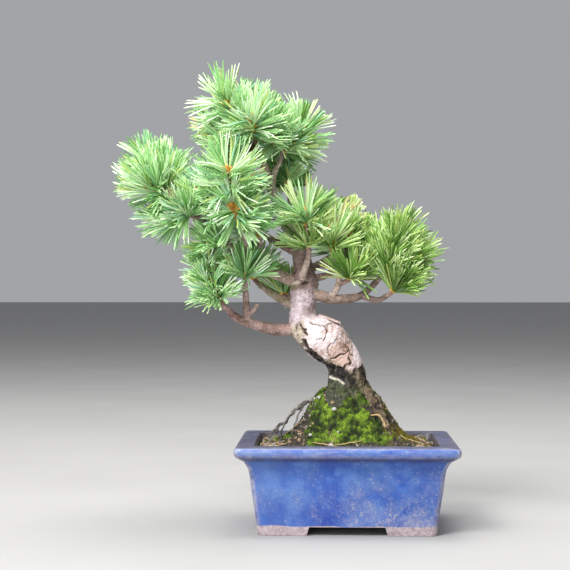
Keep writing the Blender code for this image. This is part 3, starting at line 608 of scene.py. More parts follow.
def array_mesh(name, points, faces, kinds=None, smooth=True):
    """A mesh from rows of points and rows of faces that all have as many corners."""
    mesh = bpy.data.meshes.new(name)
    count, corners = faces.shape
    mesh.vertices.add(len(points))
    mesh.vertices.foreach_set("co", np.asarray(points, np.float32).ravel())
    mesh.loops.add(count * corners)
    mesh.loops.foreach_set("vertex_index", faces.astype(np.int32).ravel())
    mesh.polygons.add(count)
    mesh.polygons.foreach_set("loop_start", np.arange(0, count * corners, corners, dtype=np.int32))
    mesh.polygons.foreach_set("use_smooth", np.full(count, smooth))
    if kinds is not None:
        mesh.polygons.foreach_set("material_index", kinds.astype(np.int32))
    mesh.update(calc_edges=True)
    return mesh


def paint_mesh(mesh, name, colours):
    """Keeps a colour for each point of the mesh, which its material reads by name."""
    layer = mesh.attributes.new(name, "FLOAT_COLOR", "POINT")
    rows = np.ones((len(mesh.vertices), 4), np.float32)
    rows[:, :3] = colours
    layer.data.foreach_set("color", rows.ravel())


def new_object(name, data, place=POT_CENTRE):
    made = bpy.data.objects.new(name, data)
    bpy.context.scene.collection.objects.link(made)
    made.location = place
    return made


def add_piece(mesh, looks, nodes=()):
    """The mesh as an object at the pot's centre that rides with the plant, for its nodes."""
    obj = new_object(mesh.name, mesh)
    for look in looks:
        mesh.materials.append(look)
    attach(obj, "root")
    if nodes:
        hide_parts(*nodes)
    return obj


def unit_rows(rows):
    return rows / np.linalg.norm(rows, axis=-1, keepdims=True)


def tube_triangles(rings, sides):
    """Triangles of a closed tube. Its points are its rings, then the middle of either end."""
    low = np.arange(rings - 1)[:, None] * sides + np.arange(sides)[None]
    low_next = np.arange(rings - 1)[:, None] * sides + (np.arange(sides)[None] + 1) % sides
    first = np.stack((low, low_next, low_next + sides), -1).reshape(-1, 3)
    second = np.stack((low, low_next + sides, low + sides), -1).reshape(-1, 3)
    here, after = np.arange(sides), (np.arange(sides) + 1) % sides
    last = (rings - 1) * sides
    bottom = np.stack((np.full(sides, rings * sides), after, here), -1)
    top = np.stack((np.full(sides, rings * sides + 1), here + last, after + last), -1)
    return np.concatenate((first, second, bottom, top))


def tube_frames(points):
    """The way along, and two ways across, at each point of a line, without twist."""
    along = unit_rows(np.gradient(points, axis=0))
    side = np.array((1.0, 0.0, 0.0)) if abs(along[0][0]) < 0.9 else np.array((0.0, 1.0, 0.0))
    sides = []
    for direction in along:
        side = side - direction * side.dot(direction)
        side = side / np.linalg.norm(side)
        sides.append(side)
    sides = np.array(sides)
    return along, sides, np.cross(along, sides)


def tube_points(points, radii, sides):
    """Rings of points round a line, and the outward direction at each."""
    _, first, second = tube_frames(points)
    angles = np.arange(sides) * tau / sides
    out = (first[:, None] * np.cos(angles)[None, :, None]
           + second[:, None] * np.sin(angles)[None, :, None])
    return points[:, None] + out * np.asarray(radii)[:, None, None], out


def with_ends(rows):
    """The rows of some rings, then the mean of the first ring and that of the last."""
    return np.concatenate((rows.reshape(-1, 3), rows[[0, -1]].mean(1)))


def closed_tube(rings):
    """Points and triangles of a tube through some rings, closed at both ends."""
    return with_ends(rings), tube_triangles(*rings.shape[:2])


def join_tubes(ring_sets):
    """Points and triangles of several closed tubes, and the number of each triangle's tube."""
    points, faces, owners, start = [], [], [], 0
    for number, rings in enumerate(ring_sets):
        tube, triangles = closed_tube(rings)
        points.append(tube)
        faces.append(triangles + start)
        owners.append(np.full(len(triangles), number))
        start += len(tube)
    return np.concatenate(points), np.concatenate(faces), np.concatenate(owners)


def skin_mesh(name, skins, layer="bark_colour"):
    """One mesh of several closed tubes, with their paint in a layer."""
    points, faces, _ = join_tubes([rings for rings, _ in skins])
    mesh = array_mesh(name, points, faces)
    paint_mesh(mesh, layer, np.concatenate([with_ends(paint) for _, paint in skins]))
    return mesh


def cover(rings, out, surface):
    """Lifts the points of some rings as a surface says, and returns the paint of each."""
    paint = np.zeros(rings.shape)
    for i, k in np.ndindex(*rings.shape[:2]):
        lift, paint[i, k] = surface(Vector(rings[i, k]), out[i, k], i)
        rings[i, k] += out[i, k] * lift
    return paint


def smooth_path(points, steps):
    """Points along a Catmull-Rom curve through the given ones."""
    points = [Vector(p) for p in points]
    padded = [2 * points[0] - points[1], *points, 2 * points[-1] - points[-2]]
    path = []
    for a, b, c, d in zip(padded, padded[1:], padded[2:], padded[3:]):
        for step in range(steps):
            t = step / steps
            path.append(
                0.5 * (2 * b + (c - a) * t + (2 * a - 5 * b + 4 * c - d) * t**2
                       + (3 * b - a - 3 * c + d) * t**3)
            )
    return [*path, points[-1]]


def path_lengths(path):
    lengths = [0.0]
    for a, b in zip(path, path[1:]):
        lengths.append(lengths[-1] + (b - a).length)
    return lengths


def even_line(path, radii, spacing):
    """The line's points and radii again, evenly spaced, as arrays."""
    lengths = np.array(path_lengths(path))
    count = max(4, round(lengths[-1] / spacing) + 1)
    at = np.linspace(0, lengths[-1], count)
    rows = np.array(path)
    points = np.stack([np.interp(at, lengths, rows[:, i]) for i in range(3)], -1)
    return points, np.interp(at, lengths, radii)


# Trunk and limbs

def root_swell(angle, z):
    """How far the surface roots swell the trunk's section, as a share of its radius."""
    depth = max(0, (ROOT_TOP - z) / (ROOT_TOP - SOIL_TOP)) ** 1.15
    swell = 0.0
    for heading, height in ROOTS:
        away = abs((degrees(angle) - heading + 180) % 360 - 180)
        swell += height * exp(-((away / ROOT_SPREAD) ** 2))
    return swell * depth


def trunk_line():
    """Centre line of the trunk and its radius at each point."""
    path = smooth_path([centre for centre, _ in TRUNK_SECTIONS], CURVE_STEPS)
    radii = []
    for (_, here), (_, after) in zip(TRUNK_SECTIONS, TRUNK_SECTIONS[1:]):
        radii += [here + (after - here) * step / CURVE_STEPS for step in range(CURVE_STEPS)]
    return path, [*radii, TRUNK_SECTIONS[-1][1]]


def limb_line(limb, parent_line):
    """Centre line of a limb and its radius at each point: a swollen collar, then a taper."""
    path = smooth_path(limb.path, CURVE_STEPS)
    lengths = path_lengths(path)
    radii = []
    for length in lengths:
        share = length / lengths[-1]
        taper = limb.tip_radius + (limb.base_radius - limb.tip_radius) * (1 - share) ** 0.85
        radii.append(taper * (1 + COLLAR * exp(-length / COLLAR_LENGTH) * (1 - share)))
    parent_path, parent_radii = parent_line
    nearest = min(range(len(parent_path)), key=lambda i: (parent_path[i] - path[0]).length)
    radii[0] = min(radii[0], 0.75 * parent_radii[nearest])
    return path, radii


def ragged(point, coarse, fine):
    """The point pushed about by two sizes of noise, so that what is drawn at it is ragged."""
    return point + coarse * noise.noise_vector(point * 70) + fine * noise.noise_vector(point * 260)


def stretched_noise(point, x, y, z):
    """Noise at scales of its own along X, Y and Z."""
    return noise.noise((point.x * x, point.y * y, point.z * z))


def fibre_at(point):
    """Fine threads of wood that run up and lean a little."""
    return noise.noise((point.x * 900 + point.z * 300, point.y * 900, point.z * 110))


def terraces(value, count):
    """A value from 0 to 1 in steps with steep edges, as layers of peeling bark lie."""
    level = min(0.999, max(0.0, value)) * count
    return (floor(level) + smoothstep(level % 1.0, 0.0, 0.22)) / count


def crack_at(point, stretch, width, clear):
    """1 in a thin wandering crack and 0 beside it. Where a slow noise is low, none shows."""
    line = abs(stretched_noise(point, *stretch))
    shown = smoothstep(noise.noise(point * 48 + Vector((3.1, 7.7, 1.9))), clear, clear + 0.25)
    return (1 - smoothstep(line, width * 0.4, width)) * shown


FOOT_BARK = ((0.006, 0.005, 0.004), (0.036, 0.029, 0.022), (0.12, 0.103, 0.084))
SHELF_BARK = ((0.007, 0.007, 0.004), (0.024, 0.027, 0.016), (0.095, 0.105, 0.064))
GRAFT_BARK = ((0.06, 0.032, 0.022), (0.5, 0.35, 0.3), (0.76, 0.64, 0.65))
BEIGE_BARK = ((0.03, 0.016, 0.01), (0.28, 0.165, 0.11), (0.53, 0.36, 0.29))
FIBRE_BARK = ((0.045, 0.034, 0.02), (0.23, 0.18, 0.115), (0.47, 0.4, 0.29))
UPPER_BARK = ((0.085, 0.05, 0.042), (0.39, 0.295, 0.3), (0.64, 0.54, 0.59))
FORK_BARK = ((0.028, 0.014, 0.01), (0.1, 0.06, 0.045), (0.29, 0.195, 0.165))
TWIG_BARK = ((0.045, 0.022, 0.015), (0.175, 0.092, 0.07), (0.48, 0.32, 0.305))
STEM_BARK = ((0.04, 0.016, 0.01), (0.15, 0.072, 0.042), (0.34, 0.205, 0.135))
PALE_BARK = ((0.2, 0.14, 0.1), (0.5, 0.39, 0.32), (0.74, 0.64, 0.57))
ROOT_BARK = ((0.01, 0.008, 0.006), (0.04, 0.034, 0.027), (0.23, 0.215, 0.19))
FLARE_BARK = ((0.01, 0.007, 0.004), (0.078, 0.053, 0.029), (0.25, 0.19, 0.13))
LICHEN_COLOUR = (0.215, 0.22, 0.09)
MOSS_STAIN = (0.11, 0.16, 0.025)
GRAFT_TOP = 0.152

# The old graft from the front, as x and z: its ragged lower edge, and the cracks in its bark
# with half the width of each
GRAFT_EDGE = mm((
    (-30, 130), (-18, 123), (-9.5, 119.5), (-2, 117.5), (3, 113.5), (5, 115.8), (12, 119.5),
    (30, 119.5),
))
GRAFT_CRACKS = mm((
    (0.7, ((-17.5, 148), (-15, 144.5), (-16.5, 139.5), (-18, 137))),
    (0.5, ((-22.5, 137), (-19, 139.5))),
    (0.4, ((-14, 133), (-9.5, 137.5), (-7, 140))),
    (0.8, ((-10.5, 124.5), (-8.5, 126), (-4, 127.5), (1.5, 129.7))),
    (0.9, ((1, 125.5), (3, 121.5), (-1, 119.5), (-1.5, 116.5))),
    (0.4, ((-0.5, 134.5), (1.6, 129.7), (4.8, 126.5))),
    (0.3, ((-14, 133), (-13.5, 128), (-10.5, 124.5), (-11.5, 120.5))),
    (0.5, ((-26, 150), (-17.5, 148), (-11, 150))),
    (1.3, ((-33.5, 147.8), (-31.2, 145), (-29.8, 145.2))),
    (1, ((-31.8, 144), (-29, 141.5))),
    (2.2, ((-31, 136.5), (-27, 129.7), (-21.5, 125), (-17.8, 122.2))),
))
BEIGE_PLACE, BEIGE_REACH = mm(((-4.5, 126), (9.6, 11.5)))
# Where the plate's foot and the fork's marks lie in the front view, with their reach: x and z
PLATE_FOOT = mm(((-9.5, 96.5), (8, 10)))
SPECKLED = mm(((-31, 173.5), (10, 4.2)))
OLIVE_STAIN = mm(((-39.5, 175.8), (4.2, 3)))
CALLUS = mm(((-37.5, 179.5), (4.2, 2)))
HOLLOW = mm(((-30.2, 178.8), (3, 1.6)))
# The broken plate of bark low on the trunk: its pale upper edge, as x and z
SHELF = mm(((-15, 111.8), (-8, 110), (-2, 106.6)))


def line_height(line, x):
    """Height of a line at x, level beyond its ends."""
    if x <= line[0][0]:
        return line[0][1]
    for (x1, z1), (x2, z2) in zip(line, line[1:]):
        if x <= x2:
            return z1 + (z2 - z1) * (x - x1) / (x2 - x1)
    return line[-1][1]


def line_distance(x, z, line):
    """How far a place lies from a line, both as x and z."""
    nearest = 1.0
    for (x1, z1), (x2, z2) in zip(line, line[1:]):
        run_x, run_z = x2 - x1, z2 - z1
        share = ((x - x1) * run_x + (z - z1) * run_z) / (run_x**2 + run_z**2)
        share = min(1.0, max(0.0, share))
        nearest = min(nearest, hypot(x - x1 - share * run_x, z - z1 - share * run_z))
    return nearest


def bark_colour(colours, height, tone):
    """From the crack's colour to the middle one, then to the pale one, by height and tone."""
    crack, middle, pale = colours
    return blend(crack, blend(middle, pale, tone), height)


def foot_bark(point, way):
    """Old, dark bark in upright ridges, mossy low down, with a broken plate in front and painted shade
    above its edge.
    """
    rough = ragged(point, 0.003, 0.001)
    ridge = 1 - min(1.0, 2.4 * abs(stretched_noise(rough, 190, 190, 60)))
    knots = noise.noise(point * 130)
    grain = noise.fractal(point * 560, 0.7, 2.0, 4)
    lift = 0.0013 * (0.35 - ridge**1.4) + 0.001 * knots + 0.0006 * grain
    tone = smoothstep(0.5 * knots + 0.9 * grain, -0.2, 0.9)
    colour = bark_colour(FOOT_BARK, 1 - smoothstep(ridge, 0.42, 0.78), tone)
    right = smoothstep(way.x + 0.4 * knots, 0.05, 0.55)
    brown = bark_colour(FLARE_BARK, 1 - smoothstep(ridge, 0.5, 0.9), tone)
    colour = blend(colour, brown, 0.75 * right)
    plate = smoothstep(-way.y, 0.25, 0.5) * smoothstep(-point.x, 0.0008, 0.0022)
    if plate > 0:
        rise = point.z + 0.0007 * noise.noise(point * 300) - line_height(SHELF, point.x)
        fibre = fibre_at(point)
        below = smoothstep(-rise, -0.0002, 0.0003) * plate
        lip = below * smoothstep(rise, -0.0016, -0.0008)
        hollow = plate * smoothstep(rise, 0.0, 0.0004) * (1 - smoothstep(rise, 0.0022, 0.0045))
        lift += below * (0.001 + 0.0004 * fibre) + 0.0006 * lip - 0.0012 * hollow
        woody = bark_colour(SHELF_BARK, 0.85, smoothstep(fibre + 0.5 * grain, -0.4, 0.7))
        colour = blend(colour, woody, 0.85 * below)
        colour = blend(colour, (0.56, 0.52, 0.42), lip)
        # Painted shade in the gap above the plate's edge
        colour = blend(colour, FOOT_BARK[0], 0.8 * hollow)
    stain = smoothstep(0.11 - point.z + 0.012 * knots, 0.002, 0.026) * 0.5
    return lift, blend(colour, MOSS_STAIN, stain)


def graft_bark(point, way):
    """Pale plates of the swollen graft: cracked in front, with a dark rift low on the left."""
    rough = ragged(point, 0.0019, 0.0011)
    front = smoothstep(-way.y, -0.05, 0.25)
    worn = 1 + 0.7 * noise.noise(point * 330)
    crack, lip = 0.0, 0.0
    for half, line in GRAFT_CRACKS:
        away = line_distance(rough.x, rough.z, line) / worn
        deep = min(1.0, half / 0.0009)
        crack = max(crack, front * min(1.0, 0.55 + deep / 2) * (1 - smoothstep(away, half * 0.45, half)))
        lip = max(lip, front * deep * (1 - smoothstep(away, half, half + 0.0018)))
    loose = crack_at(ragged(point, 0.0034, 0.0011), (75, 75, 105), 0.05, -0.1)
    crack = max(crack, (1 - front) * loose)
    fine = crack_at(rough, (260, 260, 200), 0.1, 0.0)
    layer = terraces(0.5 + 0.8 * noise.noise(rough * 78) + 0.35 * noise.noise(rough * 240), 4)
    grain = noise.fractal(point * 520, 0.65, 2.0, 4)
    lift = 0.0011 * (layer - 0.5) + 0.0004 * lip - 0.0016 * crack - 0.0003 * fine + 0.00028 * grain
    height = (1 - crack) * (1 - 0.55 * fine)
    tone = smoothstep(layer + 0.45 * grain, 0.05, 0.7)
    colour = bark_colour(GRAFT_BARK, height, tone)

    across = (rough.x - BEIGE_PLACE[0]) / BEIGE_REACH[0]
    up = (rough.z - BEIGE_PLACE[1]) / BEIGE_REACH[1]
    beige = front * (1 - smoothstep(hypot(across, up), 0.82, 1.05))
    colour = blend(colour, bark_colour(BEIGE_BARK, height, tone), 0.85 * beige)
    low_left = 0.13 - 0.45 * (rough.x + 0.025) - rough.z
    old = max(smoothstep(low_left, 0.0, 0.003), smoothstep(-0.0285 - rough.x, 0.0, 0.004)) * front
    threads = noise.noise(Vector((point.x * 500 - point.z * 400, point.y * 500, point.z * 170)))
    woody = bark_colour(FIBRE_BARK, 1 - max(crack, smoothstep(threads, 0.15, 0.5)), tone)
    lift += old * 0.0006 * threads
    return lift, blend(colour, woody, 0.85 * old)


def in_patch(x, z, place, reach):
    """1 inside an ellipse in the front view, 0 outside."""
    return 1 - smoothstep(hypot((x - place[0]) / reach[0], (z - place[1]) / reach[1]), 0.7, 1.1)


def young_bark(point, colours, flake, depth, flecks=0.4):
    """Thin bark with small flakes, broad pale patches, fine dark flecks and wrinkles across."""
    rough = ragged(point, 0.001, 0.0005)
    layer = terraces(0.5 + 0.9 * noise.noise(rough * flake), 3)
    wrinkle = stretched_noise(rough, 150, 150, 620)
    grain = noise.fractal(point * 780, 0.7, 2.0, 3)
    fleck = smoothstep(noise.noise(rough * 900) + 0.3 * grain, flecks, flecks + 0.2)
    lift = depth * (layer - 0.5 + 0.35 * wrinkle - 0.4 * fleck) + depth * 0.35 * grain
    patch = noise.noise(point * 70) + 0.5 * noise.noise(point * 210)
    tone = smoothstep(0.45 * layer + 0.55 * patch + 0.3 * wrinkle + 0.25 * grain, -0.25, 0.7)
    return lift, bark_colour(colours, 1 - 0.8 * fleck, tone)


def upper_bark(point, way):
    """Pale, pinkish bark, speckled on its right, then brown and knobbly round the forks, with painted
    shade on its right and in its hollow and painted light high up.
    """
    front = smoothstep(-way.y, -0.1, 0.2)
    wave = noise.noise(point * 60)
    right = smoothstep(way.x + 0.3 * wave, -0.1, 0.6)
    fork = smoothstep(point.z + 0.002 * wave, 0.1725, 0.177)
    # Painted light: above the forks the brown fades and the bark is blended pale, as if lit through the
    # foliage
    fork *= 1 - 0.75 * smoothstep(point.z, 0.205, 0.225)
    # Brown round the forks is the bark's own; the darker right side is painted shade
    shade = max(0.9 * fork, 0.3 * right)
    high = 0.85 * smoothstep(point.z, 0.2, 0.215)
    palette = [blend(blend(a, b, shade), c, high)
               for a, b, c in zip(UPPER_BARK, FORK_BARK, PALE_BARK)]
    rough = ragged(point, 0.0022, 0.001)
    band = in_patch(rough.x, rough.z, *SPECKLED) * front
    lift, colour = young_bark(point, palette, 210, 0.0005, 0.42 - 0.24 * max(right, band))
    lift += fork * 0.0009 * noise.noise(point * 170)
    olive = in_patch(rough.x, rough.z, *OLIVE_STAIN) * front
    colour = blend(colour, (0.16, 0.15, 0.055), 0.7 * olive)
    callus = in_patch(rough.x, rough.z, *CALLUS) * front
    colour = blend(colour, (0.56, 0.45, 0.4), 0.8 * callus)
    # Painted shade: the hollow is painted near black for the shade inside it
    hollow = in_patch(rough.x, rough.z, *HOLLOW) * front
    colour = blend(colour, (0.02, 0.012, 0.009), 0.9 * hollow)
    return lift + 0.0007 * callus - 0.0013 * hollow, colour


def trunk_surface(point, way):
    """How far the bark stands out at a point of the trunk, and its colour there."""
    rough = ragged(point, 0.001, 0.0007)
    front = smoothstep(-way.y, -0.2, 0.2)
    low_edge = GRAFT_EDGE[-1][1] + (line_height(GRAFT_EDGE, rough.x) - GRAFT_EDGE[-1][1]) * front
    above = smoothstep(rough.z, low_edge - 0.0003, low_edge + 0.0003)
    top = GRAFT_TOP + 0.005 * way.x + 0.003 * noise.noise(point * 90)
    upper = smoothstep(point.z, top - 0.0025, top + 0.0025)
    layers = []
    if above < 0.99:
        lift, colour = foot_bark(point, way)
        lift -= 0.0009 * smoothstep(rough.z, low_edge - 0.006, low_edge)
        layers.append((1 - above, lift, colour))
    if above * (1 - upper) > 0.01:
        layers.append((above * (1 - upper), *graft_bark(point, way)))
    if upper > 0.01:
        layers.append((above * upper, *upper_bark(point, way)))
    total = sum(weight for weight, _, _ in layers)
    lift = sum(weight * part for weight, part, _ in layers) / total
    return lift, [sum(weight * colour[i] for weight, _, colour in layers) / total for i in range(3)]


def make_trunk(look):
    points, radii = even_line(*trunk_line(), TRUNK_SPACING)
    rings, out = tube_points(points, np.ones(len(points)), TRUNK_SIDES)
    angles = np.arange(TRUNK_SIDES) * tau / TRUNK_SIDES
    colours = np.zeros((*rings.shape[:2], 3))
    for i, (centre, radius) in enumerate(zip(points, radii)):
        middle = Vector(centre)
        end = min(1.0, (len(points) - 1 - i) * TRUNK_SPACING / TRUNK_TAPER)
        for k, angle in enumerate(angles):
            way = Vector(out[i, k])
            knob = 0.045 * noise.noise((middle + way * 0.012) * 70)
            reach = radius * (1 + root_swell(angle, centre[2]) + knob)
            lift, colours[i, k] = trunk_surface(middle + way * reach, way)
            rings[i, k] = middle + way * (reach + lift * end)
    rings[0, :, 2] = SOIL_TOP + CLEARANCE
    add_piece(skin_mesh("trunk_bark", [(rings, colours)]), [look], ["trunk"])


def limb_skin(points, radii, sides, colours, paleness=0.0, lichen=0.0, flake=330, depth=0.0004):
    """Rings round a limb with its flakes and knobs, and the colour of each point."""
    rings, out = tube_points(points, radii, sides)
    palette = [blend(a, b, paleness) for a, b in zip(colours, PALE_BARK)]

    def surface(point, _, row):
        fullness = min(1.0, radii[row] / FULL_BARK_RADIUS)
        lift, colour = young_bark(point, palette, flake, depth)
        knob = noise.noise(point * 150) * 0.00055
        crust = lichen * smoothstep(noise.noise(point * 190) + 0.4 * lichen, 0.0, 0.2)
        return (lift + knob) * fullness + crust * 0.0003, blend(colour, LICHEN_COLOUR, crust)

    return rings, cover(rings, out, surface)


def round_end(points, radii, length):
    """The radii again, drawn in over the last stretch so that a cut end is rounded."""
    away = np.linalg.norm(points - points[-1], axis=1)
    return radii * np.sqrt(np.clip(1 - (1 - np.clip(away / length, 0, 1)) ** 2, 0.04, 1))


def make_limbs(look):
    """A bark skin for every limb. Returns the line of each, the trunk's too."""
    lines = {"trunk": trunk_line()}
    for limb in LIMBS:
        lines[limb.name] = limb_line(limb, lines[limb.parent])
        points, radii = even_line(*lines[limb.name], LIMB_SPACING)
        if limb.name == "pruned_stub":
            radii = round_end(points, radii, CUT_ROUNDING)
        # Brown limbs take the darker palette, partly as painted shade; paleness adds painted light
        palette = FORK_BARK if limb.name in BROWN_AND_SHADED_LIMBS else TWIG_BARK
        skin = limb_skin(points, radii, LIMB_SIDES, palette,
                         PALENESS_AND_LIGHT.get(limb.name, 0.08), LICHEN.get(limb.name, 0.04))
        mesh = skin_mesh(limb.name + "_bark", [skin])
        add_piece(mesh, [look], [limb.name])
    return lines


def make_exposed_root(look):
    """The thin root that stands clear of the moss, knobbly and pale on its ridges, with rootlets."""
    skins = []
    for thick, thin, path in ((*ROOT_RADII, ROOT_PATH), *ROOTLETS):
        line = smooth_path(path, CURVE_STEPS)
        points, radii = even_line(line, np.linspace(thick, thin, len(line)), 0.0004)
        for i, share in enumerate(np.linspace(0, 1, len(points))):
            place = Vector(points[i])
            points[i] += 0.0013 * sin(pi * share) * np.array(noise.noise_vector(place * 190))
            radii[i] *= 1 + 0.5 * noise.noise(place * 330)
        skins.append(limb_skin(points, radii, 14, ROOT_BARK, flake=380, depth=0.0011))
    add_piece(skin_mesh("exposed_root_bark", skins), [look], ["exposed_root"])


def make_root_flare(look):
    """The heavy root that runs down the right side of the mound, half sunk in the moss."""
    line = []
    for k, radius in enumerate(FLARE_RADII):
        share = 0.13 + 0.085 * k
        place = moss_point(share, radians(FLARE_DIRECTION - 2.0 * k))
        line.append(place - Vector((0, 0, 0.62 * radius)))
    path = smooth_path(line, 10)
    radii = np.interp(np.linspace(0, 1, len(path)), np.linspace(0, 1, len(FLARE_RADII)), FLARE_RADII)
    points, radii = even_line(path, list(radii), 0.0006)
    rings, out = tube_points(points, radii, FLARE_SIDES)

    def surface(point, way, _):
        rough = ragged(point, 0.0022, 0.0008)
        ridge = 1 - min(1.0, 2.2 * abs(stretched_noise(rough, 90, 230, 90)))
        grain = noise.fractal(point * 560, 0.7, 2.0, 4)
        knots = noise.noise(point * 120)
        tone = smoothstep(0.6 * knots + grain, -0.3, 0.8)
        colour = bark_colour(FLARE_BARK, 1 - smoothstep(ridge, 0.4, 0.9), tone)
        mossy = smoothstep(way[2] + 0.5 * way[1] + knots, 0.75, 1.0)
        lift = 0.0011 * (0.3 - ridge**1.4) + 0.0009 * knots + 0.0005 * grain
        return lift, blend(colour, (0.19, 0.17, 0.02), 0.8 * mossy)

    mesh = skin_mesh("root_flare_bark", [(rings, cover(rings, out, surface))])
    add_piece(mesh, [look])


# Shoots unlike the rest, by mass and number: share of the bundles, share of the needles' length,
# how far back from the tip the needles reach, the way it points, and whether it ends in a bud
Shoot = namedtuple("Shoot", "bundles length depth way bud")
USUAL_SHOOT = Shoot(1.0, 1.0, TUFT_DEPTH, None, True)
LOW_LEFT_SHOOT = Shoot(0.85, 1.0, 0.013, (-0.22, -0.45, 0.7), True)
ODD_SHOOTS = {
    ("front_centre", 0): Shoot(0.55, 0.88, 0.004, (-0.05, -0.35, 1.0), False),
    ("front_centre", 1): Shoot(0.85, 1.0, 0.007, None, True),
    ("front_left", 1): Shoot(1.0, 1.0, 0.015, (-0.1, -1.0, 0.35), True),
    ("front_left", 2): Shoot(0.85, 0.72, 0.014, (-0.55, -1.0, 0.9), True),
    ("left_riser", 0): Shoot(0.55, 1.0, TUFT_DEPTH, None, True),
    ("apex_left", 1): Shoot(1.0, 0.82, TUFT_DEPTH, None, True),
    ("apex_left", 3): Shoot(0.45, 0.98, 0.012, (-0.6, -0.35, 0.55), True),
    ("apex_right", 0): Shoot(0.85, 0.66, 0.014, None, True),
    **{("low_left", number): LOW_LEFT_SHOOT for number in range(3)},
    ("right_mid", 0): Shoot(0.45, 0.55, 0.01, (0.5, -0.6, 0.6), True),
    ("right_mid", 1): Shoot(0.9, 0.82, 0.014, None, True),
}

# Shoots, as the solids grow them, carried on to their ends

def spread_shoots(mass):
    """Tips of a mass's shoots: a golden spiral over its ellipsoid, turned by its seed."""
    rng = random.Random(mass.seed)
    turn = Euler([rng.uniform(0, tau) for _ in range(3)]).to_matrix()
    tips = []
    for k in range(mass.shoots):
        height = 1 - (2 * k + 1) / mass.shoots
        ring = sqrt(1 - height * height)
        unit = turn @ Vector(
            (ring * cos(k * GOLDEN_ANGLE), ring * sin(k * GOLDEN_ANGLE), height)
        )
        tips.append(Vector(mm(mass.centre)) + unit * Vector(mm(mass.spread)))
    return tips


def bezier(a, b, c, d, count):
    """Points along a cubic curve."""
    return [
        (1 - t) ** 3 * a + 3 * t * (1 - t) ** 2 * b + 3 * t**2 * (1 - t) * c + t**3 * d
        for t in (k / (count - 1) for k in range(count))
    ]


def grow_stem(mass, line):
    """The stem that carries on from the limb's tip, and each shoot's line and axis."""
    path, radii = line
    tangent = (path[-1] - path[-2]).normalized()
    start = path[-1] + tangent * (CLEARANCE + STEM_STRAIGHT)
    many = mass.shoots > 1
    hub = start.lerp(Vector(mm(mass.centre)), 0.62 if many else 1.0)
    bend = start + tangent * (hub - start).length * 0.45
    stem = [(1 - t) ** 2 * start + 2 * t * (1 - t) * bend + t**2 * hub for t in (0, 0.33, 0.67, 1)]
    fork = stem[-2] if many else stem[-3]
    shoots = []
    for tip in spread_shoots(mass):
        outward = (tip - fork).normalized()
        aside, forward = mass.lean
        forward *= smoothstep(-tip.y, -0.012, 0.028)
        axis = Vector((outward.x + aside, outward.y - forward, max(outward.z, 0) + TWIG_LIFT))
        axis.normalize()
        middle = fork.lerp(tip, 0.55) - Vector((0, 0, 0.0012))
        reach = (tip - fork).length
        bent = bezier(fork, fork.lerp(middle, 0.7), tip - axis * reach * 0.35, tip, 14)
        shoots.append((bent, axis))
    base = [path[-2], path[-1], *smooth_path(stem, 4)[: None if many else 5]]
    return base, radii[-1], shoots


def segment_table(lines):
    """Start, run and radius of every straight piece of some limbs, as arrays."""
    starts, runs, radii = [], [], []
    for path, widths in lines:
        for a, b, width in zip(path, path[1:], widths):
            starts.append(a)
            runs.append(b - a)
            radii.append(width)
    return np.array(starts), np.array(runs), np.array(radii)


def clear_of(points, table, gap):
    """True for each point that lies outside every limb by more than the gap."""
    starts, runs, radii = table
    away = points[:, None] - starts[None]
    share = np.clip((away * runs).sum(-1) / (runs * runs).sum(-1), 0, 1)
    distance = np.linalg.norm(away - share[..., None] * runs[None], axis=-1) - radii
    return distance.min(1) > gap


def fit_lengths(roots, ways, lengths, own, others, table):
    """The lengths that keep needles clear of limbs and near their own shoot, and which fit."""
    fitted, done = lengths.copy(), np.zeros(len(lengths), bool)
    for shorter in SHORTER:
        tried = lengths * shorter
        fits = ~done
        for share in (0.3, 0.55, 0.8, 1.0):
            fits &= clear_of(roots + ways * (tried * share)[:, None], table, 0.0004)
        ends = roots + ways * tried[:, None]
        nearest = np.linalg.norm(ends[:, None] - others[None], axis=-1).min(1)
        fits &= nearest - np.linalg.norm(ends - own, axis=1) > -OWN_SPACE
        fitted[fits] = tried[fits]
        done |= fits
    return fitted, done


def turned_about(axis, polar, round_angle):
    """Unit rows at given angles from an axis, turned round it."""
    helper = np.where(np.abs(axis[:, 2:]) < 0.9, (0.0, 0.0, 1.0), (1.0, 0.0, 0.0))
    first = unit_rows(np.cross(axis, helper))
    second = np.cross(axis, first)
    across = first * np.cos(round_angle)[:, None] + second * np.sin(round_angle)[:, None]
    return axis * np.cos(polar)[:, None] + across * np.sin(polar)[:, None]


def spread_bundles(line, axis, count, depth, habit, rng):
    """Root and direction of each bundle of needles along the end of a shoot."""
    share = (np.arange(count) + rng.uniform(0, 1, count)) / count
    points = np.array(line)
    lengths = np.array(path_lengths(line))
    at = lengths[-1] - TUFT_START - depth * share**0.9
    roots = np.stack([np.interp(at, lengths, points[:, i]) for i in range(3)], -1)
    narrow, wide = (cos(radians(angle)) for angle in (habit.narrow, habit.wide))
    polar = np.arccos(narrow + (wide - narrow) * share)
    polar = np.abs(polar + np.radians(rng.normal(0, 7, count)))
    turn = rng.permutation(count) * GOLDEN_ANGLE + rng.normal(0, 0.25, count)
    ways = turned_about(np.tile(np.array(axis), (count, 1)), polar, turn)
    ways[:, 2] += NEEDLE_RISE
    ways = unit_rows(ways)
    return roots + ways * TWIG_RADIUS * 0.6, ways, share


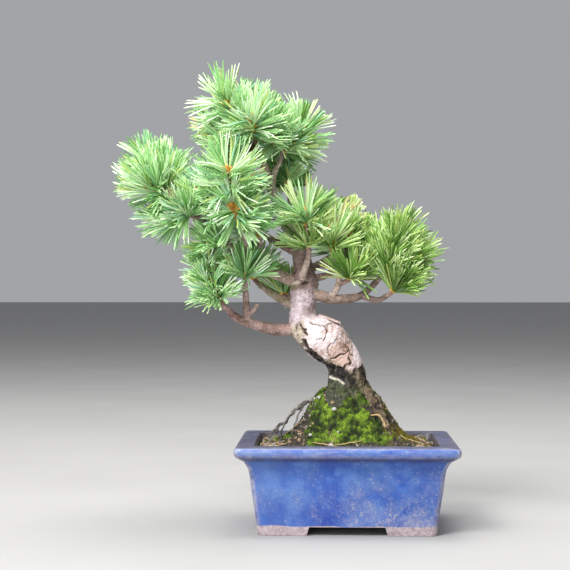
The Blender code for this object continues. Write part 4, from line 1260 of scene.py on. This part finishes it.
def needle_rows(roots, ways, lengths, rng):
    """The five needles of every bundle: root, direction, bend, back and length of each."""
    count = len(roots) * BUNDLE_NEEDLES
    roots, ways, lengths = (np.repeat(a, BUNDLE_NEEDLES, 0) for a in (roots, ways, lengths))
    turn = np.tile(np.arange(BUNDLE_NEEDLES) * tau / BUNDLE_NEEDLES, count // BUNDLE_NEEDLES)
    turn = turn + np.repeat(rng.uniform(0, tau, count // BUNDLE_NEEDLES), BUNDLE_NEEDLES)
    back = turned_about(ways, np.full(count, pi / 2), turn)
    spread = rng.uniform(*BUNDLE_SPREAD, count)[:, None]
    shared = np.repeat(rng.normal(0, BUNDLE_CURVE / 2, (count // BUNDLE_NEEDLES, 3)), BUNDLE_NEEDLES, 0)
    curve = shared + rng.normal(0, NEEDLE_CURVE / 2, (count, 3)) + np.array((0, 0, 0.03))
    curve -= ways * (curve * ways).sum(1, keepdims=True)
    aims = unit_rows(ways + back * spread * 0.6)
    bends = back * spread * 0.5 + curve
    return roots + back * 0.00025, aims, bends, back, lengths * rng.uniform(0.9, 1.04, count)


def needle_template():
    """Triangles of one needle: three-sided levels, then its tip and its root."""
    faces, sides = [], []
    for level in range(len(NEEDLE_LEVELS) - 1):
        for side in range(3):
            a, b = level * 3 + side, level * 3 + (side + 1) % 3
            faces += [(a, b, b + 3), (a, b + 3, a + 3)]
            sides += [side, side]
    top = (len(NEEDLE_LEVELS) - 1) * 3
    tip, root = top + 3, top + 4
    for side in range(3):
        after = (side + 1) % 3
        faces += [(top + side, top + after, tip), (after, side, root)]
        sides += [side, side]
    return np.array(faces), np.array(sides)


def needle_points(roots, aims, bends, back, lengths):
    """Every point of some needles: their back is flat and wide, their front a ridge."""
    levels = np.array(NEEDLE_LEVELS)
    girths = np.array(NEEDLE_GIRTHS) * NEEDLE_WIDTH
    run = lengths[:, None, None]
    aims_part, bends_part = aims[:, None] * levels[:, None], bends[:, None] * levels[:, None]
    centres = roots[:, None] + run * (aims_part + bends_part * levels[:, None])
    along = unit_rows(aims[:, None] + 2 * bends_part)
    across = unit_rows(np.cross(along, back[:, None]))
    outward = np.cross(across, along)
    corners = [
        centres + (outward * 0.28 + across * side) * girths[:, None] for side in (0.5, -0.5)
    ] + [centres - outward * 0.42 * girths[:, None]]
    levels_part = np.stack(corners, 2).reshape(len(roots), -1, 3)
    tips = roots + lengths[:, None] * (aims + bends)
    ends = np.stack((tips, roots - aims * 0.0003), 1)
    return np.concatenate((levels_part, ends), 1)


def within_box(roots, aims, bends, lengths):
    """The lengths again, cut so that no needle's tip goes far out of the solids' box."""
    low, high = (np.array(corner - POT_CENTRE) for corner in CAD_BOX)
    runs = (aims + bends) * lengths[:, None]
    with np.errstate(divide="ignore", invalid="ignore"):
        room = np.where(runs > 0, (high + BOX_MARGIN - roots) / runs, (low - BOX_MARGIN - roots) / runs)
    return lengths * np.clip(np.nanmin(room, axis=1), 0.2, 1)


def needle_mesh(name, rows, outer, inner):
    """One mesh of many needles, its faces' materials dealt out by bundle."""
    points = needle_points(*rows)
    count, each = points.shape[:2]
    template, sides = needle_template()
    faces = (template[None] + np.arange(count)[:, None, None] * each).reshape(-1, 3)
    kinds = np.where(sides[None] == 0, outer[:, None], inner[:, None]).reshape(-1)
    used = np.unique(kinds)
    kinds = np.searchsorted(used, kinds)
    return array_mesh(name, points.reshape(-1, 3), faces, kinds, smooth=False), used


def spindle_rows(starts, ends, radii, sides, profile):
    """Points and triangles of many small spindles, each through the rings of a profile."""
    along = ends - starts
    ways = unit_rows(along)
    count = len(starts)
    rings = []
    for share, girth in profile:
        ring = []
        for k in range(sides):
            out = turned_about(ways, np.full(count, pi / 2), np.full(count, k * tau / sides))
            ring.append(starts + along * share + out * (radii * girth)[:, None])
        rings.append(np.stack(ring, 1))
    points = np.concatenate([*rings, starts[:, None], ends[:, None]], 1)
    faces = tube_triangles(len(profile), sides)
    each = points.shape[1]
    return points.reshape(-1, 3), (faces[None] + np.arange(count)[:, None, None] * each).reshape(-1, 3)


def bud_skins(tip, axis, rng):
    """A fat bud and a few small ones round it, each with rows of scales."""
    skins = []
    turn = axis.to_track_quat("Z", "Y").to_matrix()
    small = rng.integers(2, 4)
    shares = np.linspace(0, 1, BUD_ROWS)
    odd_row = np.arange(BUD_ROWS) % 2
    scales = np.cos(np.arange(BUD_SIDES) * tau / 5)[None] * np.where(odd_row, 1, -1)[:, None]
    for number in range(small + 1):
        main = number == 0
        length = rng.uniform(*(BUD_LENGTHS if main else SMALL_BUD_LENGTHS))
        radius = length * (BUD_GIRTH if main else SMALL_BUD_GIRTH)
        angle = number * tau / small + rng.uniform(0, 0.5)
        lean = 0 if main else SMALL_BUD_LEAN
        way = turn @ Vector((sin(lean) * cos(angle), sin(lean) * sin(angle), cos(lean)))
        start = tip - axis * 0.0012 + (way - axis) * 0.0012
        points = np.array([start + way * length * k / (BUD_ROWS - 1) for k in range(BUD_ROWS)])
        girths = radius * np.sin(np.pi * (0.14 + 0.86 * shares) ** 0.8) ** 0.75
        girths = girths * (1 + 0.16 * odd_row) + 0.00015
        rings, out = tube_points(points, girths, BUD_SIDES)
        skins.append(rings + out * (girths[:, None] * 0.12 * scales)[..., None])
    return skins


def deal_colours(tip, count, sunlit, rng):
    """The colour of each bundle's outer faces and of its inner ones, bluer left and high up."""
    warmth = smoothstep(tip.x - 0.45 * (tip.z - 0.21), -0.085, 0.0)
    warm = np.where(rng.uniform(0, 1, count) < warmth, len(COOL), 0)
    # Painted light: sunlit masses get more pale tones
    tone = rng.choice(3, count, p=(0.3 - 0.24 * sunlit, 0.4 - 0.14 * sunlit, 0.3 + 0.38 * sunlit))
    lift = rng.choice(2, count, p=(0.4, 0.6))
    band = np.minimum(tone + lift, 3)
    odd = rng.uniform(0, 1, count)
    outer = np.where(odd > 1 - SPRING_SHARE, NEEDLE_KINDS.index("needle_spring"), warm + tone)
    outer = np.where(odd < BLUE_SHARE * (1 - warmth), NEEDLE_KINDS.index("needle_blue"), outer)
    withered = rng.uniform(0, 1, count) < WITHERED_SHARE
    last = NEEDLE_KINDS.index("needle_withered")
    return np.where(withered, last, outer), np.where(withered, last, warm + band)


def clothe_shoot(mass, shoot, line, axis, others, table, rng):
    """Rows of a shoot's needles, their outer and inner colours, and the ends of their sheaths."""
    many = int(BUNDLES * shoot.bundles)
    roots, ways, back = spread_bundles(line, axis, many, shoot.depth, mass.habit, rng)
    longest = NEEDLE_LENGTH * shoot.length * mass.habit.length
    lengths = longest * rng.uniform(*LENGTH_SPREAD, len(roots))
    lengths, clear = fit_lengths(roots, ways, lengths, np.array(line[-1]), others, table)
    roots, ways, lengths, back = roots[clear], ways[clear], lengths[clear], back[clear]
    colours = deal_colours(line[-1], len(roots), mass.habit.sunlit, rng)
    long, short = SHEATH_LENGTHS
    reach = (long + (short - long) * np.sqrt(back))[:, None]
    *rows, lengths = needle_rows(roots, ways, lengths, rng)
    rows.append(within_box(*rows[:3], lengths))
    outer, inner = (np.repeat(kinds, BUNDLE_NEEDLES) for kinds in colours)
    return rows, outer, inner, (roots - ways * SHEATH_FOOT, roots + ways * reach)


def make_foliage(lines, needle_looks, twig_look, bud_looks):
    """Needles, twigs and buds for every mass, as three pieces each."""
    table = segment_table(lines.values())
    tips = [(mass.name, tip) for mass in MASSES for tip in spread_shoots(mass)]
    for order, mass in enumerate(MASSES):
        rng = np.random.default_rng(mass.seed + 100 * order)
        others = np.array([tip for name, tip in tips if name != mass.name])
        base, thick, shoots = grow_stem(mass, lines[mass.limb])
        stem_radii = np.linspace(thick, TWIG_RADIUS * 1.15, len(base))
        skins = [limb_skin(*even_line(base, stem_radii, TWIG_SPACING), 16, TWIG_BARK, 0.15)]
        buds, clothed = [], []
        for number, (line, axis) in enumerate(shoots):
            shoot = ODD_SHOOTS.get((mass.name, number), USUAL_SHOOT)
            axis = Vector(shoot.way).normalized() if shoot.way else axis
            radii = np.linspace(TWIG_RADIUS * 1.25, TWIG_RADIUS * 1.05, len(line))
            skins.append(limb_skin(*even_line(line, radii, TWIG_SPACING), 12, STEM_BARK))
            if shoot.bud:
                buds += bud_skins(line[-1], axis, rng)
            clothed.append(clothe_shoot(mass, shoot, line, axis, others, table, rng))
        rows, outer, inner, sheaths = zip(*clothed)
        rows = [np.concatenate(column) for column in zip(*rows)]
        dealt = (np.concatenate(kinds) for kinds in (outer, inner))
        mesh, used = needle_mesh(mass.name + "_needles", rows, *dealt)
        node = [mass.name + "_foliage"]
        add_piece(mesh, [needle_looks[k] for k in used], node)
        add_piece(skin_mesh(mass.name + "_twigs", skins), [twig_look], node)
        add_piece(bud_mesh(mass.name + "_buds", buds, sheaths), bud_looks, node)


def bud_mesh(name, buds, sheaths):
    """One mesh of a mass's buds, and of the sheaths that its bundles of needles come out of."""
    points, faces, _ = join_tubes(buds)
    starts, ends = (np.concatenate(column) for column in zip(*sheaths))
    radii = np.full(len(starts), SHEATH_RADIUS)
    spindles, triangles = spindle_rows(starts, ends, radii, 4, SHEATH_PROFILE)
    kinds = np.repeat((0, 1), (len(faces), len(triangles)))
    faces = np.concatenate((faces, triangles + len(points)))
    return array_mesh(name, np.concatenate((points, spindles)), faces, kinds)


# Pot, soil and moss

def inner_inset(z):
    """How far the pot's inner wall lies inside the lip's widest line at height z."""
    share = min(1, max(0, (z - FLOOR_TOP) / (POT_HEIGHT - FLOOR_TOP)))
    return INNER_FLOOR_INSET + (LIP_WIDTH - INNER_FLOOR_INSET) * share


def rounded_ring(half_x, half_y, radius, z, corner_steps=8, wall_steps=22):
    """Points of a rectangle with rounded corners, and how near each is to a corner."""
    points, near = [], []
    corners = ((1, 1), (-1, 1), (-1, -1), (1, -1))
    for quarter, (sx, sy) in enumerate(corners):
        centre = Vector((sx * (half_x - radius), sy * (half_y - radius), z))
        for step in range(corner_steps + 1):
            angle = (quarter + step / corner_steps) * pi / 2
            points.append(centre + radius * Vector((cos(angle), sin(angle), 0)))
            near.append(sin(pi * step / corner_steps) ** 2.2)
        nx, ny = corners[(quarter + 1) % 4]
        after = Vector((nx * (half_x - radius), ny * (half_y - radius), z))
        angle = (quarter + 1) * pi / 2
        after += radius * Vector((cos(angle), sin(angle), 0))
        begin = points[-1].copy()
        for step in range(1, wall_steps):
            points.append(begin.lerp(after, step / wall_steps))
            near.append(0.0)
    return points, near


def make_pot(look):
    """The pot again with rounder edges, and its feet cut out as in the solid."""
    profile = smooth_path([(inset, 0, z) for z, inset in POT_PROFILE], 4)
    rings, edges = [], []
    for point in profile:
        z, inset = min(point.z, POT_HEIGHT), max(point.x, 0)
        ring, near = rounded_ring(LIP_HALF_WIDTH - inset, LIP_HALF_DEPTH - inset, POT_CORNER_RADIUS, z)
        rim = exp(-(((z - POT_PROFILE[-1][0]) / 0.0009) ** 2))
        rim += 0.55 * exp(-(((z - LIP_EDGE) / 0.001) ** 2))
        rings.append(ring)
        edges.append([min(1.0, 0.85 * n + rim) for n in near])
    # Over the lip and down the inner wall: height, inset, and how thin the glaze is
    for z, inset, rim in ((POT_HEIGHT, 0.0045, 0.15), (POT_HEIGHT, LIP_WIDTH - 0.002, 0.2),
                          (POT_HEIGHT - 0.0003, LIP_WIDTH - 0.0006, 0.9),
                          (POT_HEIGHT - 0.0012, inner_inset(POT_HEIGHT), 0.7),
                          (0.05, inner_inset(0.05), 0.1), (FLOOR_TOP, INNER_FLOOR_INSET, 0.1)):
        ring, near = rounded_ring(LIP_HALF_WIDTH - inset, LIP_HALF_DEPTH - inset, POT_CORNER_RADIUS, z)
        rings.append(ring)
        edges.append([rim] * len(near))
    mesh = array_mesh("pot_glazed", *closed_tube(np.array([[tuple(p) for p in r] for r in rings])))
    layer = mesh.attributes.new("edge", "FLOAT", "POINT")
    layer.data.foreach_set("value", np.array([*np.ravel(edges), 0, 0], np.float32))
    inner = np.repeat(np.arange(len(rings)) >= len(rings) - 3, len(rings[0])).astype(np.float32)
    layer = mesh.attributes.new("inner", "FLOAT", "POINT")
    layer.data.foreach_set("value", np.array([*inner, 0, 1], np.float32))
    obj = add_piece(mesh, [look], ["pot"])
    cut_feet(obj)
    for face in obj.data.polygons:
        face.use_smooth = True
    obj.data.set_sharp_from_angle(angle=radians(38))


def cut_feet(obj):
    """Takes the hollow under the pot, the gaps between its feet and the drain holes away."""
    beyond = 0.002
    wall = POT_PROFILE[0][1] + FOOT_ARM
    inner = (LIP_HALF_WIDTH - wall, LIP_HALF_DEPTH - wall)
    gaps = (
        ((FRONT_GAP_HALF, LIP_HALF_DEPTH), (FRONT_GAP_HALF - GAP_SLOPE, LIP_HALF_DEPTH)),
        ((LIP_HALF_WIDTH, SIDE_GAP_HALF), (LIP_HALF_WIDTH, SIDE_GAP_HALF - GAP_SLOPE)),
        (inner, inner),
    )
    cutters = []
    for order, halves in enumerate(gaps):
        top = FOOT_HEIGHT + GAP_STEP * order
        rings = [
            [(sx * hx, sy * hy, z) for sx, sy in ((1, 1), (-1, 1), (-1, -1), (1, -1))]
            for (hx, hy), z in zip(halves, (-beyond, top))
        ]
        cutters.append(array_mesh("foot_gap", *closed_tube(np.array(rings)), smooth=False))
    for side in (-1, 1):
        angles = np.arange(DRAIN_SIDES) * tau / DRAIN_SIDES
        ring = np.stack((side * DRAIN_OFFSET + DRAIN_RADIUS * np.cos(angles),
                         DRAIN_RADIUS * np.sin(angles), np.zeros(DRAIN_SIDES)), -1)
        ends = [ring + np.array((0, 0, z)) for z in (-beyond, FLOOR_TOP + beyond)]
        cutters.append(array_mesh("drain_hole", *closed_tube(np.array(ends)), smooth=False))
    for mesh in cutters:
        cutter = new_object(mesh.name, mesh)
        modifier = obj.modifiers.new("cut", "BOOLEAN")
        modifier.operation = "DIFFERENCE"
        modifier.solver = "EXACT"
        modifier.object = cutter
        bpy.context.view_layer.update()
        graph = bpy.context.evaluated_depsgraph_get()
        cut = bpy.data.meshes.new_from_object(obj.evaluated_get(graph))
        obj.modifiers.clear()
        obj.data = cut
        bpy.data.objects.remove(cutter)
    obj.data.name = obj.name


def moss_point(share, angle):
    """A point on the moss's broad surface, and how it climbs there."""
    inset = inner_inset(SOIL_TOP) + 2 * CLEARANCE
    half_width, half_depth = LIP_HALF_WIDTH - inset, LIP_HALF_DEPTH - inset
    along, across = cos(angle), sin(angle)
    corner = abs(along) ** MOSS_SQUARENESS + abs(across) ** MOSS_SQUARENESS
    square = corner ** (-1 / MOSS_SQUARENESS)
    out = share * (1 + (square - 1) * share**3)
    x = MOUND_SHIFT * (1 - share) + half_width * along * out
    y = half_depth * across * out
    lump = noise.noise((x * 95, y * 95, 0)) + 0.5 * noise.noise((x * 260, y * 260, 0))
    height = float(np.interp(-share, [-s for s in MOSS_SHARES], MOSS_HEIGHTS))
    return Vector((x, y, height + MOSS_LUMP * lump * (0.3 + 0.7 * min(1, (1 - share) / 0.1))))


def plate_share(point):
    """1 where the broken plate's foot comes through the moss, and 0 elsewhere."""
    rough = ragged(point, 0.002, 0.0008)
    return in_patch(rough.x, rough.z, *PLATE_FOOT) * smoothstep(-point.y, 0.0, 0.004)


def end_share(point):
    """1 at the pot's two ends, where the moss swells again, and 0 between them."""
    return smoothstep(abs(point.x), 0.044, 0.054)


def greenness(point):
    """Above 0.5 where moss grows thick, and below where bare soil and litter show."""
    field = noise.noise(point * 62) + 0.6 * noise.noise(point * 150)
    slope = 0.38 * smoothstep(point.z, 0.058, 0.068)
    left_bank = 0.7 * smoothstep(-point.x, 0.02, 0.034) * smoothstep(point.z, 0.058, 0.07)
    left_bank *= 1 - 0.9 * smoothstep(point.z, 0.083, 0.09)
    right_root = 0.15 * smoothstep(point.x, 0.014, 0.03) * smoothstep(point.z, 0.062, 0.076)
    # Low by the rim, and to the right, the moss gives way to dark litter: partly litter, partly painted
    # shade under the rim
    rim_litter_and_shade = 0.3 * (1 - smoothstep(point.z, 0.0595, 0.0655)) + 0.15 * smoothstep(point.x, 0.0, 0.03)
    ends = 0.35 * end_share(point)
    return 0.44 + 0.6 * field + slope + ends - left_bank - right_root - rim_litter_and_shade - plate_share(point)


def moss_relief(point):
    """How far the moss's cushions stand up, and their colour, with painted shade between them."""
    green = smoothstep(greenness(point), 0.3, 0.6)
    rough = noise.fractal(point * 900, 0.7, 2.0, 3)
    distances, centres = noise.voronoi(ragged(point, 0.002, 0.0008) * CUSHION_SCALE)
    size = 0.5 + 0.5 * noise.noise(centres[0] * 7.3)
    dome = max(0.0, 1 - distances[0] ** 2 * (1.3 + 0.9 * size))
    patch = 0.42 + 0.7 * noise.noise(point * 110) + 0.8 * noise.noise(point * 300)
    lift = CUSHION_HEIGHT * (dome * (0.4 + size) + 0.8 * patch) * green + 0.0004 * rough
    lift += 0.0013 * end_share(point) * smoothstep(patch, -0.1, 0.6)
    # Painted shade and light: the green is near black between the cushions and pale on their domes, over
    # its own patches
    tone = min(1.0, max(0.0, patch * (0.35 + 0.9 * dome)))
    leaf = blend((0.005, 0.01, 0.001), (0.15, 0.25, 0.012), tone)
    litter = blend((0.01, 0.008, 0.005), (0.085, 0.066, 0.044), smoothstep(rough, -0.3, 0.7))
    plate = plate_share(point)
    if plate > 0:
        fibre = fibre_at(point)
        woody = bark_colour(SHELF_BARK, 0.85, smoothstep(fibre + 0.4 * rough, -0.4, 0.7))
        litter = blend(litter, woody, plate)
        lift += 0.0004 * fibre * plate
    return lift, blend(litter, leaf, green)


def make_moss(look):
    """The moss's surface with its cushions, and the soil and litter between them."""
    rings, paint = [], []
    for i in range(MOSS_RINGS):
        share = 1 - i / MOSS_RINGS * 0.9
        ring, colours = [], []
        for k in range(MOSS_SECTORS):
            point = moss_point(share, tau * k / MOSS_SECTORS)
            lift, colour = moss_relief(point)
            edge = min(1.0, i / 3)
            ring.append(tuple(point + Vector((0, 0, lift * edge))))
            colours.append(colour)
        if i == 0:
            rings.append([(x, y, SOIL_TOP + CLEARANCE) for x, y, _ in ring])
            paint.append(colours)
        rings.append(ring)
        paint.append(colours)
    mesh = skin_mesh("moss_carpet", [(np.array(rings), np.array(paint))], "moss_colour")
    add_piece(mesh, [look], ["moss"])


def make_moss_leaves(looks):
    """Small leaves that stand up from the green cushions."""
    rng = random.Random(31)
    points, faces, kinds = [], [], []
    for _ in range(MOSS_LEAVES):
        share = sqrt(rng.uniform(0.03, 0.97))
        point = moss_point(share, rng.uniform(0, tau))
        if greenness(point) < rng.uniform(0.25, 0.6):
            continue
        lift, colour = moss_relief(point)
        start = len(points)
        lean = Vector((rng.gauss(0, LEAF_LEAN), rng.gauss(0, LEAF_LEAN), 1)).normalized()
        length = rng.uniform(*LEAF_LENGTHS)
        foot = point + Vector((0, 0, lift - LEAF_FOOT))
        turn = rng.uniform(0, tau)
        for corner in range(3):
            angle = turn + corner * tau / 3
            points.append(tuple(foot + LEAF_FOOT * Vector((cos(angle), sin(angle), 0))))
        points.append(tuple(foot + lean * length))
        faces += [[start + corner for corner in face] for face in LEAF_FACES]
        dry = smoothstep(point.x, 0.015, 0.045) + 0.35 * noise.noise(point * 90)
        sunny = smoothstep(0.08 - point.z, 0, 0.012)
        sunny *= smoothstep(0.016 - abs(point.x + 0.008), 0, 0.01)
        # The leaves follow the carpet's green, painted shade between the cushions included
        roll = colour[1] / 0.2 + rng.gauss(0, 0.25) - 0.55 * dry + 0.22 * sunny
        kinds += [0 if roll > 0.95 else 1 if roll > 0.52 else 2 if dry > 0.25 else 3] * 4
    mesh = array_mesh("moss_leaves", np.array(points), np.array(faces), np.array(kinds), smooth=False)
    add_piece(mesh, looks, ["moss"])


def front_moss_point(x, z):
    """The point of the moss that shows at a place in the front view."""
    tried = (moss_point(share, radians(turn))
             for share in np.linspace(0.2, 0.95, 60) for turn in range(-175, -4, 3))
    return min(tried, key=lambda point: hypot(point.x - x, point.z - z))


def add_stone(bm, fineness, size, kind, shape):
    """A small ball whose points go where the shape says, with the material of its kind."""
    made = bmesh.ops.create_icosphere(bm, subdivisions=fineness, radius=size)
    for vert in made["verts"]:
        vert.co = shape(vert.co)
    for face in {f for v in made["verts"] for f in v.link_faces}:
        face.material_index = kind
        face.smooth = True


def make_grit(looks):
    """Small stones that lie on the soil between the moss, and the pebbles."""
    rng = random.Random(57)
    bm = bmesh.new()
    for _ in range(GRIT_STONES):
        share = sqrt(rng.uniform(0.1, 0.97))
        turn = rng.uniform(0, tau) if rng.random() < 0.6 else rng.gauss(radians(208), 0.35)
        point = moss_point(share, turn)
        if greenness(point) > 0.62 or point.z > GRIT_TOP:
            continue
        size = rng.uniform(*GRIT_SIZES) * (1.5 if rng.random() < 0.12 else 1)
        turn = Euler([rng.uniform(0, tau) for _ in range(3)]).to_matrix()
        squash = Vector((rng.uniform(0.7, 1.2), rng.uniform(0.7, 1.2), rng.uniform(0.5, 0.9)))
        seat = point + Vector((0, 0, moss_relief(point)[0] + size * 0.2))
        kind = rng.choices(range(4), GRIT_SHARES)[0]
        add_stone(bm, 1, size, kind,
                  lambda co: seat + turn @ (co * squash * rng.uniform(0.88, 1.12)))
    for (x, z), size, kind in PEBBLES:
        place = front_moss_point(x, z)
        add_stone(bm, 2, size, kind,
                  lambda co: place + Vector((co.x * 1.3, co.y - size, co.z + 0.3 * size)))
    mesh = bpy.data.meshes.new("grit")
    bm.to_mesh(mesh)
    bm.free()
    add_piece(mesh, looks)


def make_litter(looks):
    """Dead needles that lie on the moss and along the pot's rim."""
    rng = random.Random(83)
    inset = inner_inset(SOIL_TOP) + 0.001
    half_width, half_depth = LIP_HALF_WIDTH - inset, LIP_HALF_DEPTH - inset
    needles, kinds = [], []
    for _ in range(LITTER_NEEDLES):
        share = sqrt(rng.uniform(0.35 if rng.random() < 0.1 else 0.76, 0.98))
        turn = rng.uniform(0, tau) if rng.random() < 0.6 else rng.gauss(-pi / 2, 0.5)
        middle = moss_point(share, turn)
        if abs(sin(turn)) > 0.6:
            heading = rng.gauss(0, 0.5)
        else:
            heading = turn + pi / 2 + rng.gauss(0, 0.6)
        length = rng.uniform(*LITTER_LENGTHS)
        bend = rng.uniform(-0.5, 0.5)
        line = []
        for share in np.linspace(-0.5, 0.5, len(LITTER_RADII)):
            reach = float(share) * length
            angle = heading + bend * reach / length
            x = min(half_width, max(-half_width, middle.x + reach * cos(angle)))
            y = min(half_depth, max(-half_depth, middle.y + reach * sin(angle)))
            arch = LITTER_ARCH * cos(pi * reach / length) ** 2
            line.append(Vector((x, y, moss_top(x, y) + LITTER_LIFT + arch)))
        if min((b - a).length for a, b in zip(line, line[1:])) < 0.0008:
            continue
        needles.append(tube_points(np.array(line), LITTER_RADII, 5)[0])
        kinds.append(rng.randrange(3))
    sliver = [front_moss_point(x, z) + Vector((0, -0.0014, 0.0006)) for x, z in SLIVER]
    sliver = np.array(smooth_path(sliver, 4))
    girths = 0.0003 + SLIVER_RADIUS * np.sin(np.linspace(0.1, 3.0, len(sliver)))
    points, faces, owners = join_tubes([*needles, tube_points(sliver, girths, 6)[0]])
    mesh = array_mesh("dead_needles", points, faces, np.array([*kinds, 1])[owners])
    add_piece(mesh, looks)


def moss_top(x, y):
    """Height of the moss at a place in the pot, from the nearest share along its direction."""
    angle = atan2(y / (LIP_HALF_DEPTH - LIP_WIDTH), x / (LIP_HALF_WIDTH - LIP_WIDTH))
    low, high = 0.0, 1.0
    for _ in range(10):
        middle = (low + high) / 2
        point = moss_point(middle, angle)
        if point.x**2 + point.y**2 < x * x + y * y:
            low = middle
        else:
            high = middle
    lift, _ = moss_relief(point)
    return point.z + lift


def make_bark_plate(look):
    """The loose plate on the shoulder, with a ragged outline."""
    path = smooth_path(PLATE_PATH, 10)
    rings, paint = [], []
    for i, centre in enumerate(path):
        along = i / (len(path) - 1)
        half = float(np.interp(along, np.linspace(0, 1, len(PLATE_HALF_WIDTHS)), PLATE_HALF_WIDTHS))
        ring, colours = [], []
        for k in range(PLATE_SIDES):
            angle = tau * k / PLATE_SIDES
            edge = 1 + 0.14 * noise.noise((along * 14, cos(angle) * 3, sin(angle)))
            arch = -0.12 * half * cos(angle) ** 2
            point = centre + Vector((
                0.25 * PLATE_HALF_THICKNESS * sin(angle),
                -half * edge * cos(angle),
                PLATE_HALF_THICKNESS * sin(angle) + arch,
            ))
            grain = noise.fractal(point * 700, 0.6, 2.0, 3)
            point.z += 0.00018 * grain
            ring.append(tuple(point))
            colours.append(blend(GRAFT_BARK[1], GRAFT_BARK[2], smoothstep(grain, -0.4, 0.5)))
        rings.append(ring)
        paint.append(colours)
    mesh = skin_mesh("bark_plate_flake", [(np.array(rings), np.array(paint))])
    add_piece(mesh, [look], ["bark_plate"])


# Camera, lights and floor

def place_camera():
    data = bpy.data.cameras.new("photo_camera")
    data.sensor_width = SENSOR_WIDTH
    data.lens = CAMERA_LENS
    camera = new_object("photo_camera", data, POT_CENTRE + Vector(CAMERA_PLACE))
    camera.rotation_euler = (pi / 2, 0, radians(CAMERA_YAW))
    bpy.context.scene.camera = camera


def add_light(name, place, size, power, colour):
    """A square light, about two metres away, that faces the middle of the tree."""
    data = bpy.data.lights.new(name, "AREA")
    data.shape = "SQUARE"
    data.size = size
    data.energy = power
    data.color = colour
    light = new_object(name, data, POT_CENTRE + Vector(place))
    light.rotation_euler = (TREE_MIDDLE - Vector(place)).to_track_quat("-Z", "Y").to_euler()


def light_scene():
    add_light("key_light", (-0.8, -1.26, 1.66), 0.8, 60, (1.0, 0.985, 0.965))
    add_light("fill_light", (-0.55, -1.9, 0.45), 1.2, 17, (0.98, 0.99, 1.0))
    add_light("top_light", (-0.05, 0.05, 1.85), 1.3, 46, (1.0, 1.0, 1.0))
    world = bpy.data.worlds.new("studio")
    world.use_nodes = True
    sky = world.node_tree.nodes["Background"].inputs
    feed(sky["Color"], (0.86, 0.88, 0.92))
    feed(sky["Strength"], 0.42)
    bpy.context.scene.world = world
    bpy.context.scene.view_settings.view_transform = "Standard"


def make_floor():
    bm = bmesh.new()
    bmesh.ops.create_grid(bm, x_segments=8, y_segments=8, size=FLOOR_SIZE)
    mesh = bpy.data.meshes.new("floor")
    bm.to_mesh(mesh)
    bm.free()
    mesh.materials.append(floor_look())
    new_object("floor", mesh, (0, 0, -FLOOR_DROP))


def main():
    noise.seed_set(NOISE_SEED)
    place_camera()
    light_scene()
    make_floor()

    bark = painted_look("bark_relief", "bark_colour", 0.86, 900, 0.00012)
    twig = painted_look("twig_relief", "bark_colour", 0.8, 1400, 0.00008)
    root = painted_look("root_relief", "bark_colour", 0.9, 1100, 0.0001)

    make_pot(glaze_look())
    frame["nodes"]["soil"].data.materials[0] = soil_look()
    make_moss(painted_look("moss_carpet", "moss_colour", 0.95, 1500, 0.0004))
    make_moss_leaves(leaf_looks(MOSS_COLOURS, 0.8, 0.12))
    make_grit(leaf_looks(GRIT_COLOURS, 0.9, 0.25))
    make_litter(leaf_looks(LITTER_COLOURS, 0.8, 0.3))
    make_trunk(bark)
    lines = make_limbs(bark)
    make_exposed_root(root)
    make_root_flare(bark)
    make_bark_plate(bark)
    buds = leaf_looks({"bud_scales": BUD_COLOUR}, 0.6)
    buds += leaf_looks({"needle_sheath": SHEATH_COLOUR}, 0.65)
    make_foliage(lines, leaf_looks(NEEDLE_COLOURS), twig, buds)


main()
